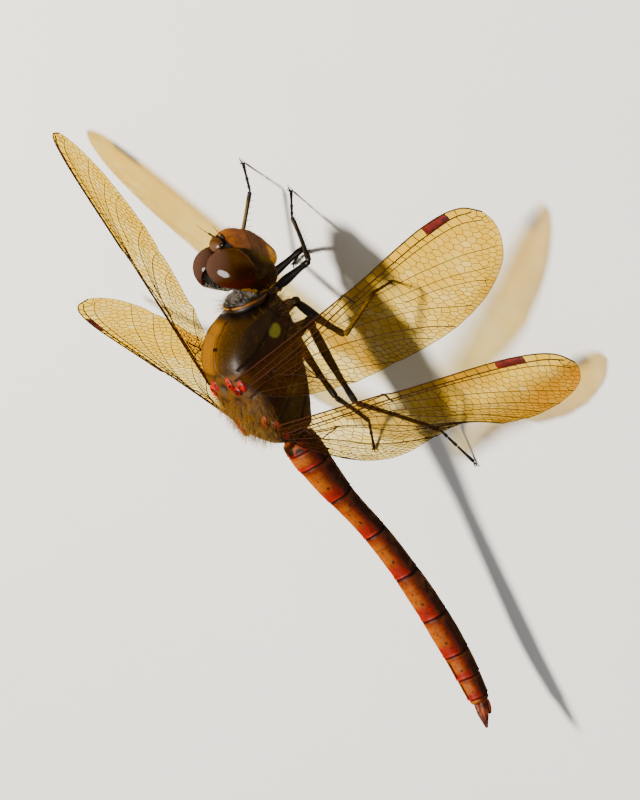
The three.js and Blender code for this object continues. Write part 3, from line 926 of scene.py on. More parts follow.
@dataclass
class Head:
    """The head: two compound eyes that meet above, one face shell, three simple eyes and two feelers."""

    eye: Blob = Blob((-0.6, 1.37, 0.64), (1.7, 1.62, 2.66), 23, 0.01, 18.7)
    seam: float = 0.012
    frons: Blob = Blob((1.25, 0, 0.31), (1.25, 1.6, 1.35))
    clypeus: Blob = Blob((0.99, 0, -0.77), (1.2, 1.83, 1.03))
    labrum: Blob = Blob((0.55, 0, -1.43), (1.1, 1.8, 0.96))
    labium: Blob = Blob((0, 0, -1.62), (1.24, 2.28, 1.29))
    capsule: Blob = Blob((-0.05, 0, -0.3), (2.02, 2.49, 2.27))
    occiput: Blob = Blob((-0.85, 0, 1.8), (0.95, 1.0, 1.15))
    vertex: Blob = Blob((1.42, 0, 1.62), (0.64, 0.74, 0.5), pitch=14)
    triangle: tuple = ((-0.12, 0.0, 0.0), (-0.75, -0.95, 0.0))
    rear: tuple = ((-2.31, 0.0, 0.0), (-1.0, 0.0, 0.318))
    ocelli: tuple = ((1.93, 0.0, 1.52, 0.15), (1.4, 0.62, 1.58, 0.17), (1.4, -0.62, 1.58, 0.17))
    feeler_path: tuple = (
        (1.85, 0.66, 1.35), (2.1, 0.72, 1.6), (2.35, 0.8, 1.95), (2.72, 0.93, 2.35), (3.02, 1.06, 2.6),
    )
    feeler_radii: tuple = (
        0.1, 0.1, 0.055, 0.08, 0.07, 0.028, 0.024, 0.026, 0.02, 0.022, 0.017, 0.018, 0.014, 0.015, 0.01,
        0.007,
    )
    inside: tuple = (0.2, 0.0, -0.2)
    sharpness: float = 9.0
    inset: float = 0.1

    def build(self) -> None:
        """Makes every piece of the head."""
        for side in Side:
            self.compound_eye(side)
        self.face()
        self.crown()
        for side in Side:
            self.feeler(side)

    def compound_eye(self, side: Side) -> None:
        """One eye, cut flat along the middle line and rounded there."""
        form = Form()
        x, y, z = self.eye.centre
        tilt = side.value * self.eye.tilt
        globe = Blob((x, side.value * y, z), self.eye.semi, tilt, self.eye.shrink, self.eye.pitch)
        form.wrap(96, 64, globe.surface(HEAD))
        inner = ((0.0, self.seam, 0.0), (0.0, -1.0, 0.0))
        for (at, away), rounding in ((inner, 0.07), (self.triangle, 0.05), (self.rear, 0.2)):
            mirror = Vector((1, side.value, 1))
            self.trim(form, HEAD @ (Vector(at) * mirror), HEAD.to_3x3() @ (Vector(away) * mirror), rounding)
        form.piece(f"eye_{side.word}_lens", EyeFinish().build(), "eye_brown", [f"eye_{side.word}"])

    @staticmethod
    def trim(form: Form, at: Vector, away: Vector, rounding: float) -> None:
        """Cuts off what lies beyond a plane, closes the cut and rounds its rim."""
        geometry = form.bm.verts[:] + form.bm.edges[:] + form.bm.faces[:]
        cut = bmesh.ops.bisect_plane(
            form.bm, geom=geometry, dist=1e-5, plane_co=at, plane_no=away, clear_outer=True
        )
        rim = [e for e in cut["geom_cut"] if isinstance(e, bmesh.types.BMEdge)]
        bmesh.ops.contextual_create(form.bm, geom=rim)
        bmesh.ops.bevel(
            form.bm,
            geom=rim,
            offset=rounding,
            segments=3,
            profile=0.5,
            affect="EDGES",
            material=-1,
            clamp_overlap=True,
        )

    def skull(self, turn: Array, share: Array) -> Array:
        """The face and the head's back as one skin: how far each blob reaches from inside, eased together."""
        way = ball(turn, share)
        start = np.array(self.inside)
        reach = []
        for blob in (self.frons, self.clypeus, self.labrum, self.labium, self.capsule, self.occiput):
            semi = np.array(blob.semi)
            inner, outer = (start - np.array(blob.centre)) / semi, way / semi
            a, b, c = (outer**2).sum(axis=-1), (outer * inner).sum(axis=-1), (inner**2).sum() - 1
            spread = b * b - a * c
            reach.append(np.where(spread > 0, (np.sqrt(np.maximum(spread, 0)) - b) / a, 0.0))
        total = np.log(np.exp(self.sharpness * np.array(reach)).sum(axis=0)) / self.sharpness
        return carried(start + way * (total - self.inset)[:, None], HEAD)

    @staticmethod
    def furrows(x: Array, y: Array, z: Array) -> Array:
        """How deep the face's furrows run, 0 to 1."""
        front = smooth(x, 0.3, 0.9)
        across = [(-0.42 + 0.1 * y**2, 0.07), (-1.02 + 0.06 * y**2, 0.055), (-1.78 + 0.1 * y**2, 0.07)]
        depth = sum(np.exp(-(((z - level) / width) ** 2)) for level, width in across) * front
        lips = np.exp(-((y / 0.06) ** 2)) * smooth(-z, 2.0, 2.3) * smooth(1.4 - x, 0.0, 0.4)
        palps = np.exp(-(((np.abs(y) - 0.75 - 0.2 * x) / 0.06) ** 2))
        palps = palps * smooth(-z, 1.9, 2.2) * smooth(0.9 - x, 0, 0.4)
        return np.clip(depth + lips + palps, 0, 1)

    def face(self) -> None:
        """The face shell, from the frons down to the lips and round to the back of the head."""
        form = Form()
        fold = form.layer("fold")
        form.wrap(168, 150, self.skull)
        form.mark(form.bm.verts, fold, self.furrows(*form.places(HEAD).T))
        form.relief(
            HEAD,
            lambda x, y, z: -0.035 * self.furrows(x, y, z)
            - 0.05 * np.exp(-((y / 0.25) ** 2)) * smooth(x, 1.6, 2.2) * smooth(z, 0.2, 0.8)
            - 0.1 * np.exp(-((y / 0.5) ** 2)) * smooth(-x, 1.5, 1.9) * smooth(-z, -1.0, -0.2),
        )
        nodes = ["frons", "clypeus", "labrum", "labium", "head_capsule"]
        form.piece("face_shell", FaceFinish().build(), "face_ochre", nodes)

    def crown(self) -> None:
        """The swelling between the eyes, with three simple eyes round its front."""
        form = Form()
        form.wrap(56, 44, self.vertex.surface(HEAD))
        form.relief(HEAD, lambda x, y, z: -0.05 * np.exp(-((y / 0.16) ** 2)) * smooth(z, 1.7, 2.1))
        form.piece("vertex_shell", VertexFinish().build(), "cuticle_olive", ["vertex"])
        form = Form()
        for x, y, z, radius in self.ocelli:
            form.wrap(20, 14, Blob((x, y, z), (radius,) * 3, 0, 0).surface(HEAD))
        form.piece(
            "ocelli", PlainFinish("ocellus_bead", "100a08", "2a1810", 0.05, 2, 0.9).build(), "dark_chitin"
        )

    def feeler(self, side: Side) -> None:
        """A feeler: two stout joints, then a bristle in five."""
        form = Form()
        line = carried(spline([(x, side.value * y, z) for x, y, z in self.feeler_path]), HEAD)
        form.wrap(12, 60, limb_surface(line, self.feeler_radii))
        finish = PlainFinish(f"feeler_shell_{side.word}", "1c130c", "3a2818", 0.35).build()
        form.piece(f"feeler_{side.word}", finish, "dark_chitin", [f"antenna_{side.word}"])


# ---------------------------------------------------------------- thorax


def segment_distance(x: Array, z: Array, start: tuple[float, float], end: tuple[float, float]) -> Array:
    """The distance of places in a plane from a straight seam."""
    (x0, z0), (x1, z1) = start, end
    dx, dz = x1 - x0, z1 - z0
    t = np.clip(((x - x0) * dx + (z - z0) * dz) / (dx * dx + dz * dz), 0, 1)
    return np.hypot(x - x0 - t * dx, z - z0 - t * dz)


@dataclass
class Thorax:
    """The thorax behind the neck: one shell with its ridge, seams, humps and pits, then collar and neck."""

    # distance along it, its back, its underside and its half width
    stations: tuple = (
        (-6.6, -2.1, -4.85, 1.25), (-6.0, -1.6, -4.95, 1.7), (-5.2, -1.05, -5.15, 2.15),
        (-4.3, -0.5, -5.5, 2.5),
        (-3.0, -0.15, -6.0, 2.75), (-1.0, 0.0, -6.7, 2.9), (0.6, 0.05, -7.2, 2.9), (1.9, -0.15, -7.4, 2.8),
        (2.9, -0.9, -7.4, 2.6), (3.7, -2.1, -7.2, 2.25), (4.1, -3.0, -6.8, 1.85),
    )
    # half width, as a share of the station's, at shares of its height
    section: tuple = (
        (0.0, 0.0), (0.4, 0.0), (0.66, 0.06), (0.88, 0.2), (1.0, 0.42), (0.99, 0.65), (0.88, 0.83),
        (0.66, 0.95),
        (0.25, 1.0), (0.0, 1.0),
    )
    inset: float = 0.05
    seams: tuple = (
        ((3.3, -7.0), (1.35, -0.5)), ((2.0, -7.2), (-1.0, -0.4)), ((0.2, -6.9), (-3.9, -0.9)),
        ((3.7, -5.2), (2.4, -5.6)),
        ((-1.4, -6.5), (-5.9, -1.9)),
    )
    prothorax: Blob = Blob((4.25, -0.25, -5.35), (0.9, 1.75, 1.75))
    # middle, radius and height of each hump and pit of the back
    humps: tuple = (
        (-0.5, 0.75, 0.5, 0.14), (-1.5, 0.0, 0.45, 0.16), (-2.2, 0.85, 0.5, 0.12), (-3.1, 0.0, 0.5, 0.16),
        (-4.2, 0.65, 0.5, 0.14), (-5.0, 0.0, 0.42, 0.16),
    )
    pits: tuple = (
        (0.1, 0.0, 0.35, 0.18), (-1.0, 0.7, 0.3, 0.14), (-2.3, 0.0, 0.3, 0.16), (-3.4, 0.75, 0.32, 0.14),
        (-4.1, 0.0, 0.3, 0.14),
    )

    def surface(self, turn: Array, share: Array) -> Array:
        """Places on the shell without its relief, in the model's frame."""
        table = spline(self.stations, 200)
        length = table[-1, 0] - table[0, 0]
        end = self.inset / length
        x = np.interp(end + share * (1 - 2 * end), (table[:, 0] - table[0, 0]) / length, table[:, 0])
        top, bottom, half = (np.interp(x, table[:, 0], table[:, k]) for k in (1, 2, 3))
        outline = spline(self.section, 200)
        run = by_length(outline, np.linspace(0, 1, 200))
        lift = np.abs(np.angle(np.exp(1j * (turn + math.pi / 2)))) / math.pi
        width = np.interp(lift, np.linspace(0, 1, 200), run[:, 0])
        height = np.interp(lift, np.linspace(0, 1, 200), run[:, 1])
        cap = np.sqrt(np.clip(1 - (1 - np.clip(np.minimum(share, 1 - share) / 0.05, 0, 1)) ** 2, 0, 1))
        side = np.where(np.cos(turn) >= 0, 1.0, -1.0)
        middle = (top + bottom) / 2
        y = side * width * (half - self.inset) * cap
        z = middle + (height - 0.5) * (top - bottom - 2 * self.inset) * cap
        return carried(np.stack([x, y, z], axis=-1), BODY)

    def seam_depth(self, x: Array, y: Array, z: Array) -> Array:
        """0 to 1 along the side's seams."""
        side = smooth(np.abs(y), 0.5, 1.3)
        near = np.min([segment_distance(x, z, *seam) for seam in self.seams], axis=0)
        return np.exp(-((near / 0.09) ** 2)) * side

    @staticmethod
    def from_fork(x: Array, y: Array) -> Array:
        """How far outside the front's ridge, or the branch of its fork, a place lies."""
        return np.abs(y) - 0.75 * np.clip(1.75 - x, 0, 2)

    def ridge(self, x: Array, y: Array, z: Array) -> Array:
        """0 to 1 along the ridge down the front and its fork before the wings."""
        return np.exp(-((self.from_fork(x, y) / 0.07) ** 2)) * smooth(x, 0.75, 1.1) * smooth(z, -3.3, -2.8)

    def fork_lines(self, x: Array, y: Array, z: Array) -> Array:
        """0 to 1 along the thin dark lines on both sides of the ridge and its fork."""
        near = np.exp(-(((np.abs(self.from_fork(x, y)) - 0.14) / 0.05) ** 2))
        return near * smooth(x, 0.55, 0.8) * smooth(z, -3.3, -2.8)

    @staticmethod
    def lumps(x: Array, y: Array, places: Sequence[tuple[float, float, float, float]]) -> Array:
        """The sum of soft round lumps, each told by its middle, its radius and its height."""
        return sum(a * np.exp(-((x - cx) ** 2 + (np.abs(y) - cy) ** 2) / r**2) for cx, cy, r, a in places)

    def back_relief(self, x: Array, y: Array, z: Array) -> tuple[Array, Array]:
        """The back between the wings: how far its humps and pits lift it, and 0 to 1 in the pits."""
        top = smooth(z, -1.6, -0.5) * smooth(-x, -0.9, -0.4)
        rise, fall = self.lumps(x, y, self.humps), self.lumps(x, y, self.pits)
        return top * (rise - fall), np.clip(top * fall / 0.16, 0, 1)

    def build(self) -> None:
        """Makes the shell, the collar and the neck."""
        form = Form()
        seam, pit = form.layer("seam"), form.layer("pit")
        form.wrap(168, 190, self.surface)
        x, y, z = form.places(BODY).T
        dark = np.maximum(self.seam_depth(x, y, z), 0.75 * self.fork_lines(x, y, z))
        form.mark(form.bm.verts, seam, dark)
        form.mark(form.bm.verts, pit, self.back_relief(x, y, z)[1])
        form.relief(
            BODY,
            lambda x, y, z: 0.09 * self.ridge(x, y, z)
            - 0.09 * self.seam_depth(x, y, z)
            + self.back_relief(x, y, z)[0] * 0.9
            - 0.1 * np.exp(-(((x - 3.62) / 0.1) ** 2)) * smooth(z, -5, -4),
        )
        form.piece("thorax_shell", ThoraxFinish().build(), "cuticle_olive", ["thorax"])
        self.collar()

    def collar(self) -> None:
        """The small first ring of the thorax, with its raised rear lobe, and the neck."""
        form = Form()
        form.wrap(64, 48, self.prothorax.surface(BODY))
        form.relief(BODY, lambda x, y, z: -0.1 * np.exp(-(((x - 4.75) / 0.12) ** 2)) * smooth(z, -5.5, -4.8))
        angle = np.radians(np.linspace(-108, 108, 17))
        middle, half, height = self.prothorax.centre[1:], 1.72, 1.66
        arch = np.stack(
            [
                4.52 - 0.22 * (angle / 1.6) ** 2,
                middle[0] + half * np.sin(angle),
                middle[1] + height * np.cos(angle),
            ],
            axis=-1,
        )
        arch[:, 2] -= 0.07 * np.exp(-((angle / 0.12) ** 2))  # a notch in the middle
        radii = [0.04, 0.07, 0.11, 0.13, 0.12, 0.13, 0.11, 0.07, 0.04]
        form.wrap(20, 90, limb_surface(carried(spline(arch), BODY), radii))
        form.piece("collar_shell", CollarFinish().build(), "cuticle_olive", ["prothorax"])
        form = Form()
        line = carried(spline([(4.7, -0.3, -5.2), (5.4, -0.4, -5.3), (6.3, -0.5, -5.4)]), BODY)
        form.wrap(32, 24, limb_surface(line, [0.7, 0.62, 0.6, 0.66, 0.72]))
        form.piece(
            "neck_skin", PlainFinish("neck_skin", "2a1c0c", "120a04", 0.5).build(), "cuticle_olive", ["neck"]
        )


@dataclass(frozen=True)
class CollarFinish:
    """The collar: black with an ochre rear lobe."""

    def build(self) -> bpy.types.Material:
        """The material."""
        s = Shader("collar_shell")
        where = s.spot_of(BODY)
        x, y, z = s.axes(where)
        cloud = s.noise(where, 1.4, 4, 0.5)
        out = (((y + 0.25) / 1.75) ** 2 + ((z + 5.35) / 1.75) ** 2).root()
        lobe = out.step(0.97, 1.0) * x.step(4.66, 4.56)
        base = s.layers(
            tone("140a03"),
            (tone("965c06"), lobe * cloud.step(0.2, 0.45)),
            (tone("4a2c06"), (z + 5.2).near(0.0, 0.3, 0.7) * 0.5),
            (tone("0a0401"), abs(y + 0.25).step(0.14, 0.05) * 0.9),
        )
        return s.dress(
            Base_Color=base, Roughness=0.36 + cloud * 0.15, Normal=s.bump(s.noise(where, 8, 3), 0.03, 0.5)
        )


# ---------------------------------------------------------------- abdomen


@dataclass
class Abdomen:
    """The slim abdomen: ten ringed segments in one shell, and the claspers at its tip."""

    path: tuple = (
        (-6.35, 0.3, 8.25), (-11.2, -0.25, 7.4), (-16.5, -1.0, 6.05), (-22.0, -1.6, 5.15),
        (-27.4, -2.05, 4.7),
        (-31.6, -2.65, 4.9),
    )
    # each segment's length, its radius where it starts and in its middle
    segments: tuple = (
        (1.0, 1.25, 1.38), (1.3, 1.41, 1.42), (3.1, 1.38, 1.22), (3.85, 1.06, 0.96), (3.95, 0.95, 0.98),
        (3.8, 0.99, 1.06), (3.3, 1.07, 1.1), (2.0, 1.05, 1.03), (1.7, 0.97, 0.92), (0.5, 0.84, 0.76),
    )
    tip_radius: float = 0.62
    inset: float = 0.03

    def __post_init__(self) -> None:
        """Works out where the segments end along the middle line."""
        self.line = carried(spline(self.path, 400), STAND)
        self.ends = np.concatenate([[0], np.cumsum([length for length, _, _ in self.segments])])
        self.length = self.ends[-1]

    def station(self, share: Array) -> Array:
        """The segment count at a share of the length."""
        return np.interp(share * self.length, self.ends, np.arange(len(self.ends)))

    def radius(self, share: Array) -> Array:
        """The radius at a share of the length, with a lip before each joint and a groove in it."""
        knots, radii = [], []
        for i, (length, start, middle) in enumerate(self.segments):
            end = self.segments[i + 1][1] if i + 1 < len(self.segments) else self.tip_radius
            knots += [self.ends[i] + length * k for k in (0.0, 0.12, 0.5, 0.88)]
            radii += [start, (start + middle) / 2, middle, middle + 0.6 * (end - middle)]
        knots.append(self.length)
        radii.append(self.tip_radius)
        run = share * self.length
        around = (-0.2, -0.1, 0, 0.1, 0.2)
        base = sum(np.interp(np.clip(run + d, 0, self.length), knots, radii) for d in around) / len(around)
        signed = run[:, None] - self.ends[None, 1:-1]
        nearest = np.take_along_axis(signed, np.abs(signed).argmin(axis=1)[:, None], axis=1)[:, 0]
        lip = 0.035 * np.exp(-(((nearest + 0.12) / 0.09) ** 2))
        groove = -0.085 * np.exp(-((nearest / 0.055) ** 2))
        return base - self.inset + lip + groove

    def surface(self, turn: Array, share: Array) -> Array:
        """Places on the shell, in the model's frame."""
        place = by_length(self.line, share)
        way = heading(self.line, share)
        side = unit(np.cross(np.array([0, 0, 1.0]), way))
        up = np.cross(way, side)
        up = np.where(up[:, 2:] < 0, -up, up)
        lift, across = np.sin(turn), np.cos(turn)
        keel = 1 + 0.06 * np.maximum(lift, 0) ** 6 - 0.12 * np.maximum(-lift, 0) ** 2
        fold = 1 - 0.05 * np.exp(-(((lift + 0.62) / 0.1) ** 2))
        edge = np.minimum(share * self.length / 0.35, (1 - share) * self.length / 0.25)
        cap = np.sqrt(1 - (1 - np.clip(edge, 0, 1)) ** 2)
        radius = self.radius(share) * cap * fold
        return place + side * (radius * across)[:, None] + up * (radius * keel * lift)[:, None]

    def build(self) -> None:
        """Makes the shell and the claspers."""
        form = Form()
        form.wrap(
            64,
            420,
            self.surface,
            station=lambda turn, share: self.station(share),
            lift=lambda turn, share: np.sin(turn),
            side=lambda turn, share: np.cos(turn),
        )
        nodes = [f"abdomen_s{k:02d}" for k in range(1, 11)]
        form.piece("abdomen_shell", AbdomenFinish().build(), "cuticle_red", nodes)
        self.claspers()

    def from_tip(self, back: float, out: float, up: float) -> Array:
        """A place told from the abdomen's tip."""
        way = unit(self.line[-1] - self.line[-6])
        side = unit(np.cross([0, 0, 1.0], way))
        side = side if side[1] > 0 else -side
        rise = np.cross(way, side)
        rise = rise if rise[2] > 0 else -rise
        return self.line[-1] + way * back + side * out + rise * up

    def claspers(self) -> None:
        """The two upper claspers, pointed and slightly bowed, and the lower one between them."""
        finish = PlainFinish("clasper_shell", "8a3600", "3a1000", 0.42, coat=0.0).build()
        places = [
            (-0.5, 0.22, 0.1), (0.05, 0.28, 0.17), (0.55, 0.26, 0.26), (1.05, 0.2, 0.36), (1.9, 0.08, 0.56)
        ]
        for side in Side:
            form = Form()
            line = spline([self.from_tip(back, side.value * out, up) for back, out, up in places])
            form.wrap(16, 40, limb_surface(line, [0.22, 0.3, 0.31, 0.3, 0.27, 0.19, 0.11, 0.04]))
            form.piece(f"clasper_{side.word}", finish, "cuticle_red", [f"cercus_{side.word}"])
        form = Form()
        places = [(-0.45, 0, -0.2), (0.5, 0, -0.32), (1.12, 0, -0.22)]
        line = spline([self.from_tip(*place) for place in places])
        form.wrap(16, 30, limb_surface(line, [0.25, 0.32, 0.3, 0.22, 0.12], 1.25))
        form.piece("clasper_lower", finish, "cuticle_red", ["epiproct"])


# ---------------------------------------------------------------- legs


@dataclass
class Leg:
    """A leg, from its hip to its claws, in the frame that stands on the floor under the wing roots."""

    name: str
    hip: tuple[float, float, float]
    knee: tuple[float, float, float]
    ankle: tuple[float, float, float]
    toe: tuple[float, float]
    spine: float = 0.62
    toe_height: float = 0.13

    def build(self, finish: bpy.types.Material, hip_finish: bpy.types.Material) -> None:
        """Makes the hip joint and the leg beyond it."""
        hip, knee, ankle = (
            carried(np.array([p], float), STAND)[0] for p in (self.hip, self.knee, self.ankle)
        )
        toe = carried(np.array([[*self.toe, self.toe_height]]), STAND)[0]
        middle = carried(np.array([[self.hip[0], 0.7, self.hip[2]]]), STAND)[0]
        top = hip + 0.35 * (middle - hip) + np.array([-0.15, 0, 1.9])
        form = Form()
        form.wrap(32, 30, limb_surface(np.linspace(top, hip, 40), [0.56, 0.62, 0.6, 0.5, 0.42, 0.4]))
        ring = np.linspace(hip + (hip - knee) * 0.05, hip + (knee - hip) * 0.1, 40)
        form.wrap(24, 20, limb_surface(ring, [0.34, 0.4, 0.34]))
        form.piece(f"hip_{self.name}", hip_finish, "cuticle_olive", [f"coxa_{self.name}"])
        form = Form()
        form.layer("pale")
        self.thigh(form, hip, knee)
        self.shin(form, knee, ankle)
        self.foot(form, ankle, toe)
        nodes = [f"{part}_{self.name}" for part in ("femur", "tibia", "tarsus")]
        form.piece(f"leg_{self.name}", finish, "dark_chitin", nodes)

    @staticmethod
    def bend(start: Array, end: Array, bow: float) -> Array:
        """A line that bows slightly upwards on its way."""
        middle = (start + end) / 2 + np.array([0, 0, bow])
        return spline([start, middle, end])

    def thigh(self, form: Form, hip: Array, knee: Array) -> None:
        """The femur: stout, with two rows of short spines below."""
        line = self.bend(hip + (knee - hip) * 0.06, knee, 0.12)
        radii = [0.27, 0.34, 0.36, 0.35, 0.32, 0.28, 0.24, 0.22, 0.25, 0.24]
        form.wrap(
            20, 48, limb_surface(line, radii), pale=lambda turn, share: 0.25 * smooth(-np.sin(turn), 0.2, 0.8)
        )
        self.spines(form, line, 12, self.spine * 0.42, 0.3, 0.1)

    def shin(self, form: Form, knee: Array, ankle: Array) -> None:
        """The tibia: slim, pale along its outer edge, with two rows of long spines."""
        line = self.bend(knee, ankle, -0.06)
        radii = [0.22, 0.21, 0.17, 0.165, 0.16, 0.155, 0.15, 0.155, 0.17, 0.15]
        form.wrap(
            16,
            48,
            limb_surface(line, radii),
            pale=lambda turn, share: smooth(np.sin(turn), 0.35, 0.8) * smooth(1 - share, 0.05, 0.2),
        )
        self.spines(form, line, 10, self.spine, 0.15, 0.08)

    def spines(self, form: Form, line: Array, count: int, length: float, width: float, start: float) -> None:
        """Two rows of spines that lean towards the foot."""
        shares = np.linspace(start, 0.95, count)
        way = unit(line[-1] - line[0])
        side = unit(np.cross(np.array([0, 0, 1.0]), way))
        up = np.cross(way, side)
        for row in (-1, 1):
            out = unit(-up * 0.75 + side * row * 0.75 + way * 0.55)
            for share, place in zip(shares, by_length(line, shares + row * 0.012)):
                reach = length * (0.75 + 0.4 * math.sin(share * math.pi))
                start_point = place + out * width * 0.55
                end_point = start_point + out * reach
                end_point[2] = max(end_point[2], 0.03)
                form.cone(start_point, end_point, 0.028)

    def foot(self, form: Form, ankle: Array, toe: Array) -> None:
        """The tarsus: three joints, then two claws that rest on the floor."""
        joints = [0.0, 0.22, 0.5, 1.0]
        for start, end in zip(joints, joints[1:]):
            first, last = ankle + (toe - ankle) * start, ankle + (toe - ankle) * end
            form.wrap(12, 20, limb_surface(np.linspace(first, last, 40), [0.1, 0.09, 0.1, 0.125, 0.12]))
        way = unit(toe - ankle)
        side = unit(np.cross(np.array([0, 0, 1.0]), way))
        level = unit(way * np.array([1, 1, 0]))
        for row in (-1, 1):
            bow = toe + level * 0.28 + side * row * 0.17 + np.array([0, 0, 0.02])
            tip = toe + level * 0.48 + side * row * 0.25
            tip[2] = 0.02
            form.wrap(8, 20, limb_surface(spline([toe, bow, tip]), [0.065, 0.06, 0.045, 0.03, 0.012]))
            form.cone(
                toe - level * 0.2 + side * row * 0.06, toe + side * row * 0.2 - np.array([0, 0, 0.08]), 0.02
            )


LEGS = (
    Leg("fore_right", (4.3, -0.45, 5), (6.26, -4.67, 4.26), (8.36, -1.15, 1.81), (9.5, 0.17)),
    Leg("middle_right", (2.7, -0.6, 4.2), (0.23, -5.38, 4.47), (3.12, -8.89, 2.98), (2.26, -7.28)),
    Leg("hind_right", (0.7, -0.6, 3.8), (-4.09, -6.52, 6.7), (-9.6, -7.05, 1.37), (-13.08, -7.58)),
    Leg("fore_left", (4.3, 1.65, 5.2), (5.9, -1.2, 2.1), (4.45, 2.0, 0.45), (3.2, 3.9)),
    Leg("middle_left", (2.7, 2, 4.5), (5.6, 5.2, 3.6), (10.6, 2.13, 2.11), (11.72, 4.57)),
    Leg("hind_left", (0.7, 2.1, 3.9), (-5.1, -1.55, 4.9), (-9.65, 1.75, 1.06), (-12.77, 4.09)),
)


# ---------------------------------------------------------------- wings


# the main veins that run on a ridge (1) or in a valley (-1)
PLEATS = {"Sc": -1, "R": 1, "RP1": -1, "IR2": 1, "RP34": -1, "MA": 1, "MP": -1, "CuA": 1}
VEIN_RADIUS = {"lead": 0.085, "R": 0.08, "Sc": 0.06, "RP1": 0.055, "trail": 0.028, "MA": 0.055, "CuA": 0.055}
OTHER_RADIUS = 0.042


@dataclass
class Venation:
    """One kind of wing laid flat: its outline, main veins and net of cells, all in shares of its length."""

    lead: tuple
    trail: tuple
    veins: dict[str, tuple]
    triangle: tuple
    nodus: float
    stigma: tuple[float, float]
    root: float = 0.02
    step: float = 0.0075
    rounded: float = 0.8

    def __post_init__(self) -> None:
        """Samples the lines."""
        self.lines = {name: spline(points, 80) for name, points in self.veins.items()}
        self.lines["lead"], self.lines["trail"] = spline(self.lead, 240), spline(self.trail, 240)

    @cached_property
    def cells(self) -> list[Array]:
        """The net's cells, evened out once."""
        first = self.net(self.seeds())
        return self.net(np.array([cell.mean(axis=0) for cell in first]))

    def height(self, name: str, x: Array | float) -> Array | float:
        """How far a line lies behind the leading edge's start, at a share of the length."""
        line = self.lines[name]
        return np.interp(x, line[:, 0], line[:, 1])

    def spans(self, name: str, x: Array | float) -> Array | bool:
        """Whether a line reaches a share of the length."""
        line = self.lines[name]
        return (x >= line[0, 0]) & (x <= line[-1, 0])

    @staticmethod
    def stride(upper: str, lower: str) -> tuple[int, float]:
        """The spacing of cells between two lines: in steps along the wing, and across it."""
        if upper in ("lead", "Sc") and lower in ("Sc", "R"):
            return 5, 1.0
        if upper == "R":
            return 4, 1.0
        if lower == "trail":
            return 2, 0.019
        return 3, 0.021

    def seeds(self) -> Array:
        """The middles of the cells, in staggered rows between each pair of neighbouring lines."""
        chance = np.random.default_rng(SEED)
        found = []
        for column, x in enumerate(np.arange(self.root + 0.01, 0.994, self.step)):
            walls = sorted((self.height(name, x), name) for name in self.lines if self.spans(name, x))
            for (top, upper), (bottom, lower) in zip(walls, walls[1:]):
                steps, across = self.stride(upper, lower)
                if (column + len(upper)) % steps or bottom - top < 0.004:
                    continue
                rows = max(1, round((bottom - top) / across))
                for row in range(rows):
                    there = x + (row % 2) * steps * self.step / 2 + chance.normal(0, 0.0014)
                    y0, y1 = self.height(upper, there), self.height(lower, there)
                    found.append((there, y0 + (row + 0.5 + chance.normal(0, 0.06)) / rows * (y1 - y0)))
        return np.array(found)

    def net(self, seeds: Array) -> list[Array]:
        """The cells round seeds: each keeps to its own side of the main veins."""
        x, y = seeds.T
        near = np.linalg.norm(seeds[:, None] - seeds[None], axis=2) < 0.085
        parted = np.zeros(near.shape, bool)
        for name in self.veins:
            reach = self.spans(name, x)
            below = y > self.height(name, x)
            parted |= (below[:, None] != below[None]) & reach[:, None] & reach[None]
        cells = []
        for i, seed in enumerate(seeds):
            others = seeds[np.flatnonzero(near[i] & ~parted[i])]
            cuts = [((seed + other) / 2, other - seed) for other in others if (other != seed).any()]
            cuts += self.round_tip(seed)
            for name in self.lines:
                if self.spans(name, seed[0]) and not (name in ("lead", "trail") and seed[0] > self.rounded):
                    wall = self.height(name, seed[0])
                    slope = (self.height(name, seed[0] + 0.006) - self.height(name, seed[0] - 0.006)) / 0.012
                    sign = 1 if wall > seed[1] else -1
                    cuts.append((np.array([seed[0], wall]), sign * np.array([-slope, 1.0])))
            cuts.append((np.array([self.root, 0]), np.array([-1.0, 0])))
            cell = self.cut_cell(seed, cuts)
            if len(cell) > 2:
                cells.append(self.snapped(cell))
        return cells

    def round_tip(self, seed: Array) -> list[tuple[Array, Array]]:
        """The cuts that keep a cell by the tip inside the bulging outline: the outline's own tangents."""
        if seed[0] <= self.rounded:
            return []
        cuts = []
        for name, sign in (("lead", -1), ("trail", 1)):
            line = self.lines[name]
            way = np.gradient(line, axis=0)
            away = sign * np.stack([-way[:, 1], way[:, 0]], axis=1)
            near = (np.linalg.norm(line - seed, axis=1) < 0.07) & (line[:, 0] > self.rounded)
            cuts += list(zip(line[near][::2], away[near][::2]))
        return cuts

    @staticmethod
    def cut_cell(seed: Array, cuts: list[tuple[Array, Array]]) -> Array:
        """One cell: a square round its seed, trimmed along straight lines."""
        bm = bmesh.new()
        bmesh.ops.create_grid(
            bm, x_segments=1, y_segments=1, size=0.06, matrix=Matrix.Translation((*seed, 0))
        )
        for place, away in cuts:
            geometry = bm.verts[:] + bm.edges[:] + bm.faces[:]
            bmesh.ops.bisect_plane(
                bm, geom=geometry, dist=1e-6, plane_co=(*place, 0), plane_no=(*away, 0), clear_outer=True
            )
        corners = [v.co[:2] for face in bm.faces for v in face.verts]
        bm.free()
        return np.array(corners)

    def snapped(self, cell: Array) -> Array:
        """A cell whose corners near a line are moved onto it."""
        for name in self.lines:
            wall = self.height(name, cell[:, 0])
            close = (np.abs(cell[:, 1] - wall) < 0.004) & self.spans(name, cell[:, 0])
            if name in ("lead", "trail"):
                close &= cell[:, 0] <= self.rounded
            cell[close, 1] = wall[close]
        return cell

